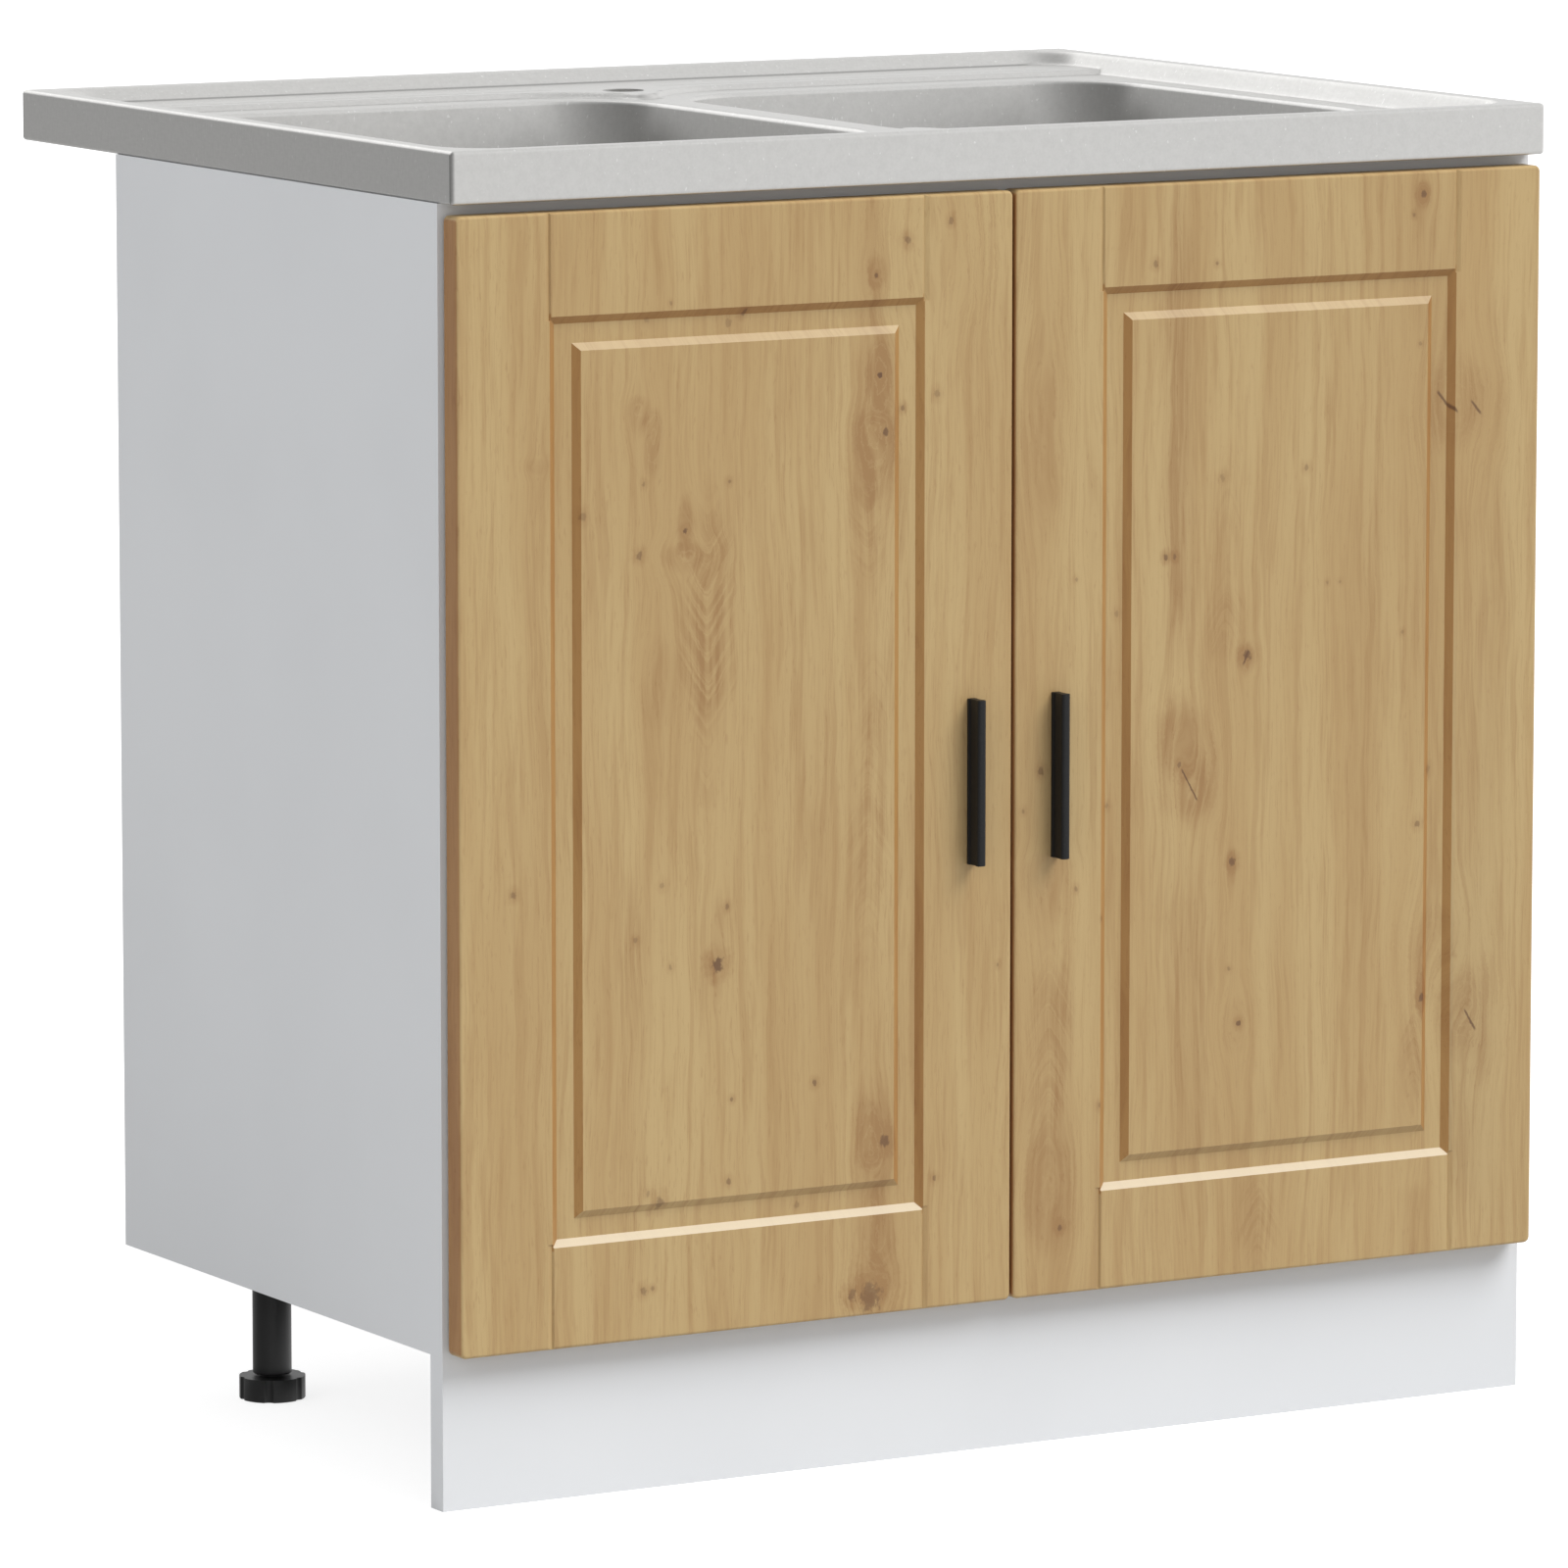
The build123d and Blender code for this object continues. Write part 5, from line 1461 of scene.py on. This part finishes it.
@dataclass
class KeptNodes:
    """CAD nodes that stay as they are and get a finish, with their sharp edges softened."""

    finish: bpy.types.Material
    names: tuple[str, ...]
    edge: float = 0.0

    def soften(self, node: bpy.types.Object) -> None:
        """Rounds a node's edges, after its corners are merged and its flat faces joined.

        Args:
            node: the node.
        """
        weld = node.modifiers.new("merge corners", "WELD")
        weld.merge_threshold = 0.01 * MM
        flat = node.modifiers.new("join flat faces", "DECIMATE")
        flat.decimate_type, flat.angle_limit = "DISSOLVE", math.radians(1.0)
        bevel = node.modifiers.new("soften edges", "BEVEL")
        bevel.width, bevel.segments = self.edge * MM, 2
        bevel.limit_method, bevel.angle_limit = "ANGLE", math.radians(28.0)
        bevel.harden_normals = True

    def dress(self, nodes: dict[str, bpy.types.Object]) -> None:
        """Gives each node the finish, and softens its edges where edge isn't 0.

        Args:
            nodes: every CAD node by name.
        """
        for name in self.names:
            node = nodes[name]
            node.data.materials.clear()
            node.data.materials.append(self.finish)
            if self.edge:
                self.soften(node)
            log.info("%s: %s", name, self.finish.name)


# ------------------------------------------------------------------ floor, light and camera


@dataclass(frozen=True)
class Lamp:
    """A distant soft lamp: where it stands seen from the object, and its width in degrees.

    The strength is twice the brightness that a white face square to it has.
    """

    name: str
    towards: Colour
    strength: float
    spread: float

    def hang(self) -> None:
        """Makes the lamp, which lights but doesn't show in reflections."""
        light = bpy.data.lights.new(self.name, "SUN")
        light.energy, light.angle = self.strength * math.pi / 2, math.radians(self.spread)
        lamp = bpy.data.objects.new(self.name, light)
        x, y, z = unit(np.array(self.towards))
        lamp.rotation_euler = (math.acos(z), 0.0, math.atan2(y, x) + math.pi / 2)
        lamp.visible_glossy = False
        bpy.context.scene.collection.objects.link(lamp)


@dataclass
class Studio:
    """Pale floor, white surroundings, soft lamps and the photograph's camera.

    The camera's place and the floor's half width are in metres, its angles in radians. The room's
    light values hold only in reflections.
    """

    lamps: tuple[Lamp, ...] = (
        Lamp("key", (0.42, -0.50, 0.76), 1.55, 38.0),
        Lamp("left_fill", (-0.85, -0.25, 0.45), 0.33, 50.0),
    )
    sky: float = 0.50
    room: float = 0.63
    room_right: float = 0.475
    room_dimmest: float = 0.16
    window: float = 1.2
    ceiling: float = 0.17
    bounce: float = 0.12
    floor_half: float = 30.0
    floor_glow: float = 0.80
    floor_grey: float = 0.5
    viewpoint: Colour = (-3.31543, -5.76311, 1.33309)
    look_down: float = 0.14025
    look_right: float = 0.522246
    lens: float = 234.64
    sensor: float = 36.0

    def floor(self) -> None:
        """A wide floor that is white to the camera, keeps a soft shadow, and isn't reflected."""
        mesh, half = bpy.data.meshes.new("floor"), self.floor_half
        corners = [(-half, -half, 0.0), (half, -half, 0.0), (half, half, 0.0), (-half, half, 0.0)]
        mesh.from_pydata(corners, [], [(0, 1, 2, 3)])
        floor = bpy.data.objects.new("floor", mesh)
        bpy.context.scene.collection.objects.link(floor)
        paint = bpy.data.materials.new("pale floor")
        graph = Graph(paint)
        seen = graph.node("ShaderNodeLightPath", out="Is Camera Ray")
        mirrored = graph.node("ShaderNodeLightPath", out="Is Glossy Ray")
        matt = graph.node("ShaderNodeBsdfDiffuse", None, {"Color": (self.floor_grey,) * 3})
        white = {"Color": (1.0, 1.0, 1.0), "Strength": self.floor_glow}
        glow = graph.node("ShaderNodeEmission", None, white)
        lit = graph.node("ShaderNodeAddShader", None, {0: matt, 1: glow})
        shown = graph.node("ShaderNodeMixShader", None, {0: seen, 1: matt, 2: lit})
        clear = graph.node("ShaderNodeBsdfTransparent")
        graph.end(graph.node("ShaderNodeMixShader", None, {0: mirrored, 1: shown, 2: clear}))
        mesh.materials.append(paint)

    def surroundings(self) -> None:
        """White for the camera, an even sky for soft light, and a room for reflections.

        The room is bright on the right and dim on the left, and a little brighter in front. It has
        a broad window behind the object, a ceiling on the right and light from the floor's left.
        """
        world = bpy.data.worlds.new("studio")
        bpy.context.scene.world = world
        graph = Graph(world)
        x, y, z = graph.parts(graph.node("ShaderNodeTexCoord", out="Generated"))
        window = y.rise(0.35, 0.75) * z.rise(0.06, 0.34) * x.rise(0.40, 0.08)
        ceiling = z.rise(-0.07, 0.07) * x.rise(-0.2, 0.3)
        bounce = z.rise(0.02, -0.10) * x.rise(0.2, -0.4)
        room = self.room - 0.06 * y + x * (self.room_right - 0.03 * y)
        room = room.larger(self.room_dimmest) + self.window * window
        room = room + self.ceiling * ceiling + self.bounce * bounce
        seen = graph.node("ShaderNodeLightPath", out="Is Camera Ray")
        mirrored = graph.node("ShaderNodeLightPath", out="Is Glossy Ray")
        strength = self.sky + (room - self.sky) * mirrored
        strength = strength + (1.0 - strength) * seen
        white = {"Color": (1.0, 1.0, 1.0), "Strength": strength}
        graph.end(graph.node("ShaderNodeBackground", None, white))

    def camera(self) -> None:
        """A long lens at the photograph's viewpoint."""
        data = bpy.data.cameras.new("camera")
        data.lens, data.sensor_width, data.clip_end = self.lens, self.sensor, 100.0
        camera = bpy.data.objects.new("camera", data)
        camera.location = self.viewpoint
        camera.rotation_euler = (math.pi / 2 - self.look_down, 0.0, -self.look_right)
        bpy.context.scene.collection.objects.link(camera)
        bpy.context.scene.camera = camera

    def build(self) -> None:
        """Sets up everything round the object."""
        self.floor()
        self.surroundings()
        for lamp in self.lamps:
            lamp.hang()
        self.camera()
        bpy.context.scene.view_settings.view_transform = "Standard"


# ------------------------------------------------------------------ the whole cabinet


LEFT_FIGURE = DoorFigure(
    centre_x=-199.0,
    seed=1.3,
    knots=(
        Knot(-78.3, 778.3, 2.4, 0.5), Knot(-100.8, 757.2, 1.3, 0.7), Knot(-247.3, 746.5, 1.2, 0.35),
        Knot(-192.7, 738.4, 1.8, 0.55), Knot(-202.8, 731.9, 2.4, 0.3),
        Knot(-260.4, 736.7, 1.8, 0.25), Knot(-98.2, 694.7, 1.6, 0.9), Knot(-93.8, 658.8, 2.3, 0.75),
        Knot(-77.5, 673.0, 1.5, 0.5), Knot(-266.9, 635.8, 1.4, 0.4), Knot(-206.2, 633.9, 1.4, 0.45),
        Knot(-237.9, 605.1, 1.6, 0.8), Knot(-270.0, 591.6, 2.2, 0.5),
        Knot(-309.9, 618.0, 2.2, 0.35), Knot(-46.5, 789.2, 1.8, 0.45),
        Knot(-56.6, 680.8, 2.2, 0.35), Knot(-359.3, 386.4, 2.0, 0.5),
        Knot(-214.8, 331.9, 4.2, 0.85), Knot(-207.9, 367.9, 1.6, 0.5),
        Knot(-273.2, 351.3, 1.6, 0.35), Knot(-248.5, 332.5, 1.4, 0.35),
        Knot(-254.0, 384.5, 1.8, 0.3), Knot(-145.2, 251.2, 1.7, 0.6),
        Knot(-204.8, 245.6, 1.3, 0.55), Knot(-93.8, 209.7, 3.6, 0.7), Knot(-207.1, 194.0, 1.8, 0.5),
        Knot(-255.8, 184.7, 3.2, 0.5), Knot(-264.9, 191.2, 1.6, 0.3),
        Knot(-154.1, 173.7, 1.8, 0.35), Knot(-268.1, 130.0, 2.2, 0.45),
        Knot(-261.5, 130.9, 1.3, 0.4), Knot(-104.5, 111.0, 8.5, 0.55),
        Knot(-117.5, 112.8, 3.2, 0.5), Knot(-10.8, 315.8, 1.3, 0.35), Knot(-57.6, 182.5, 1.6, 0.5),
    ),
    whirls=(
        Whirl(-100.5, 757.0, 8.0, 14.0, 10.0, 1.0, 0.40),
        Whirl(-98.0, 694.0, 11.0, 24.0, 34.0, 3.0, 0.62),
        Whirl(-101.0, 662.0, 16.0, 14.0, 46.0, 4.0, 0.60),
        Whirl(-271.0, 683.0, 9.0, 9.0, 20.0, 1.0, 0.42),
        Whirl(-260.0, 666.0, 8.0, 16.0, 30.0, 2.0, 0.46),
        Whirl(-238.0, 604.0, 6.0, 22.0, 16.0, 0.0, 0.62),
        Whirl(-236.0, 590.0, 17.0, 9.0, 13.0, 1.0, 0.55),
        Whirl(-214.8, 340.0, 5.5, 42.0, 38.0, 0.0, 0.52),
        Whirl(-104.0, 203.0, 12.0, 36.0, 15.0, 3.0, 0.55),
        Whirl(-99.0, 150.0, 13.0, 44.0, 28.0, 3.0, 0.42),
        Whirl(-104.0, 116.0, 15.0, 14.0, 12.0, 1.5, 0.60),
        Whirl(-341.0, 651.0, 8.0, 5.0, 6.0, 0.0, 0.2),
        Whirl(-62.0, 770.0, 26.0, 50.0, 40.0, 0.0, 0.08),
        Whirl(-255.0, 512.0, 14.0, 30.0, 36.0, 0.0, 0.22),
    ),
    plumes=(
        Plume(-222.0, 545.0, 24.0, 88.0, 13.0, -1.7, 0.62),
        Plume(-106.0, 400.0, 20.0, 100.0, 17.0, 1.6, 0.34),
        Plume(-106.0, 600.0, 18.0, 40.0, 10.0, -1.2, 0.30),
        Plume(-103.0, 490.0, 16.0, 42.0, 14.0, 1.8, 0.22),
        Plume(-222.0, 448.0, 9.0, 22.0, 12.0, -2.2, 0.30),
    ),
    cracks=(),
    bands=(
        Band(-99.0, 700.0, 830.0, 13.0, 0.30), Band(-101.0, 100.0, 260.0, 18.0, 0.26),
        Band(-104.0, 600.0, 720.0, 16.0, 0.30), Band(-272.0, 150.0, 420.0, 14.0, 0.12),
        Band(-150.0, 300.0, 640.0, 20.0, 0.07),
    ),
)
RIGHT_FIGURE = DoorFigure(
    centre_x=199.0,
    seed=7.9,
    knots=(
        Knot(306.5, 791.3, 2.4, 0.7), Knot(299.2, 778.1, 1.3, 0.4), Knot(104.2, 755.0, 1.8, 0.45),
        Knot(150.3, 753.4, 1.3, 0.45), Knot(155.2, 616.6, 2.0, 0.28), Knot(218.8, 619.4, 1.8, 0.4),
        Knot(305.1, 694.9, 1.2, 0.3), Knot(112.8, 568.0, 1.8, 0.65), Knot(119.6, 567.6, 1.5, 0.5),
        Knot(80.3, 533.3, 1.8, 0.3), Knot(46.2, 557.7, 1.2, 0.35), Knot(174.8, 501.6, 3.0, 0.65),
        Knot(293.0, 508.8, 1.2, 0.3), Knot(235.1, 544.5, 1.1, 0.3), Knot(245.0, 544.4, 1.1, 0.3),
        Knot(20.7, 437.0, 2.2, 0.55), Knot(7.5, 412.5, 1.4, 0.4), Knot(124.0, 434.0, 1.6, 0.5),
        Knot(164.2, 368.2, 2.4, 0.7), Knot(162.1, 299.1, 1.4, 0.4), Knot(169.6, 263.0, 1.8, 0.75),
        Knot(73.3, 410.5, 1.6, 0.3), Knot(46.9, 359.7, 1.4, 0.4), Knot(66.6, 339.2, 1.3, 0.35),
        Knot(305.7, 382.9, 2.0, 0.5), Knot(317.0, 417.3, 2.4, 0.3), Knot(310.9, 268.5, 2.8, 0.75),
        Knot(65.1, 218.5, 1.5, 0.4), Knot(35.8, 142.5, 2.0, 0.6),
    ),
    whirls=(
        Whirl(306.5, 791.0, 7.0, 10.0, 11.0, 2.0, 0.32),
        Whirl(174.0, 500.0, 8.0, 9.0, 14.0, 2.0, 0.34),
        Whirl(124.0, 448.0, 15.0, 36.0, 28.0, 0.0, 0.50),
        Whirl(134.0, 418.0, 13.0, 28.0, 30.0, 1.0, 0.46),
        Whirl(149.0, 424.0, 7.0, 30.0, 40.0, 2.0, 0.22),
        Whirl(164.2, 367.0, 5.0, 14.0, 14.0, 0.0, 0.34),
        Whirl(168.0, 260.0, 12.0, 20.0, 20.0, 2.0, 0.26),
        Whirl(310.5, 272.0, 5.5, 22.0, 18.0, 0.0, 0.52),
        Whirl(322.0, 300.0, 22.0, 34.0, 40.0, 4.0, 0.26),
        Whirl(343.0, 256.0, 20.0, 34.0, 34.0, 4.0, 0.40),
        Whirl(334.0, 656.0, 24.0, 34.0, 36.0, 4.0, 0.34),
        Whirl(24.0, 372.0, 17.0, 14.0, 50.0, 1.0, 0.34),
        Whirl(27.0, 168.0, 18.0, 40.0, 50.0, 1.0, 0.30),
        Whirl(60.0, 590.0, 10.0, 50.0, 40.0, 1.0, 0.14),
        Whirl(20.0, 660.0, 16.0, 70.0, 80.0, 1.0, 0.18),
        Whirl(300.0, 220.0, 10.0, 36.0, 60.0, 2.0, 0.24),
    ),
    plumes=(
        Plume(158.0, 522.0, 20.0, 30.0, 12.0, 1.8, 0.26),
        Plume(27.0, 250.0, 20.0, 84.0, 15.0, 1.9, 0.50),
        Plume(186.0, 130.0, 22.0, 40.0, 13.0, 1.7, 0.34),
        Plume(304.0, 236.0, 12.0, 34.0, 10.0, 2.0, 0.30),
        Plume(159.0, 590.0, 14.0, 70.0, 24.0, 3.0, 0.16),
    ),
    cracks=(
        Crack(125.0, 432.0, 138.0, 409.0, 0.45), Crack(322.0, 664.0, 335.0, 648.0, 0.7),
        Crack(344.0, 657.0, 353.0, 646.0, 0.6), Crack(343.0, 259.0, 353.0, 243.0, 0.6),
        Crack(176.0, 505.0, 171.0, 494.0, 0.5),
    ),
    bands=(
        Band(124.0, 480.0, 830.0, 15.0, 0.34), Band(126.0, 395.0, 475.0, 22.0, 0.22),
        Band(133.0, 150.0, 380.0, 20.0, 0.22), Band(307.0, 690.0, 830.0, 12.0, 0.14),
        Band(27.0, 120.0, 320.0, 20.0, 0.22), Band(353.0, 200.0, 300.0, 14.0, 0.16),
        Band(262.0, 260.0, 640.0, 16.0, 0.12), Band(303.0, 90.0, 150.0, 12.0, 0.22),
    ),
)


@dataclass
class SinkCabinet:
    """The whole unit: every sub-assembly in order."""

    nodes: dict[str, bpy.types.Object]
    board_edge: float = 0.35
    door_edge: float = 0.55
    plastic_edge: float = 0.25

    def named(self, *endings: str) -> tuple[str, ...]:
        """The nodes whose names end in one of these."""
        return tuple(sorted(name for name in self.nodes if name.endswith(endings)))

    def build(self) -> None:
        """Makes the sink and handles, and dresses every node that stays."""
        steel = LinenSteel("linen steel").material()
        coat = PowderCoat("black powder coat").material()
        self.carry(SinkDeck(steel).build(), "carcass")
        for side, way in (("left", -1), ("right", 1)):
            bowl = Bowl(f"{side}_bowl", way * BOWL_X, steel).build()
            self.carry(bowl, "carcass")
        for side, way in (("left", -1), ("right", 1)):
            handle = BarHandle(f"{side}_handle", way * HANDLE_X, coat).build()
            self.carry(handle, f"{side}_leaf")
        for group in self.kept():
            group.dress(self.nodes)

    def kept(self) -> tuple[KeptNodes, ...]:
        """Sorts the nodes that stay by their finish.

        Returns:
            A group for each finish.
        """
        finishes = (
            MelamineBoard("white melamine"),
            OakFoil("oak foil left", LEFT_FIGURE),
            OakFoil("oak foil right", RIGHT_FIGURE),
            MouldedPlastic("black plastic"),
            PlatedMetal("nickel plate", Plating.NICKEL),
            PlatedMetal("cast zinc", Plating.CAST_ZINC),
            PlatedMetal("bright zinc", Plating.BRIGHT_ZINC),
            PlatedMetal("galvanised sheet", Plating.GALVANISED),
            PlainBeech("beech"),
        )
        groups = (
            (self.named("_panel", "_rail", "plinth_board"), self.board_edge),
            (("left_door",), self.door_edge),
            (("right_door",), self.door_edge),
            (self.named("_socket", "_tube", "_foot", "plinth_clips"), self.plastic_edge),
            (self.named("_cup", "_link", "_arm", "_plate"), 0.0),
            (self.named("cam_locks", "cam_bolts"), 0.0),
            (self.named("_screws"), 0.0),
            (("sink_clips",), 0.0),
            (("dowels",), 0.0),
        )
        pairs = zip(finishes, groups)
        return tuple(KeptNodes(finish.material(), *group) for finish, group in pairs)

    def carry(self, piece: bpy.types.Object, body: str) -> None:
        """Makes a new piece ride on its body.

        Args:
            piece: the new piece.
            body: the body's name.
        """
        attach(piece, body)
        log.info("%s: %d faces on %s", piece.name, len(piece.data.polygons), body)


def main() -> None:
    """Loads the frame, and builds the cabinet's looks and the studio."""
    logging.basicConfig(level=logging.INFO, format="%(name)s %(message)s")
    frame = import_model()
    SinkCabinet(frame["nodes"]).build()
    Studio().build()


if __name__ == "__main__":
    main()
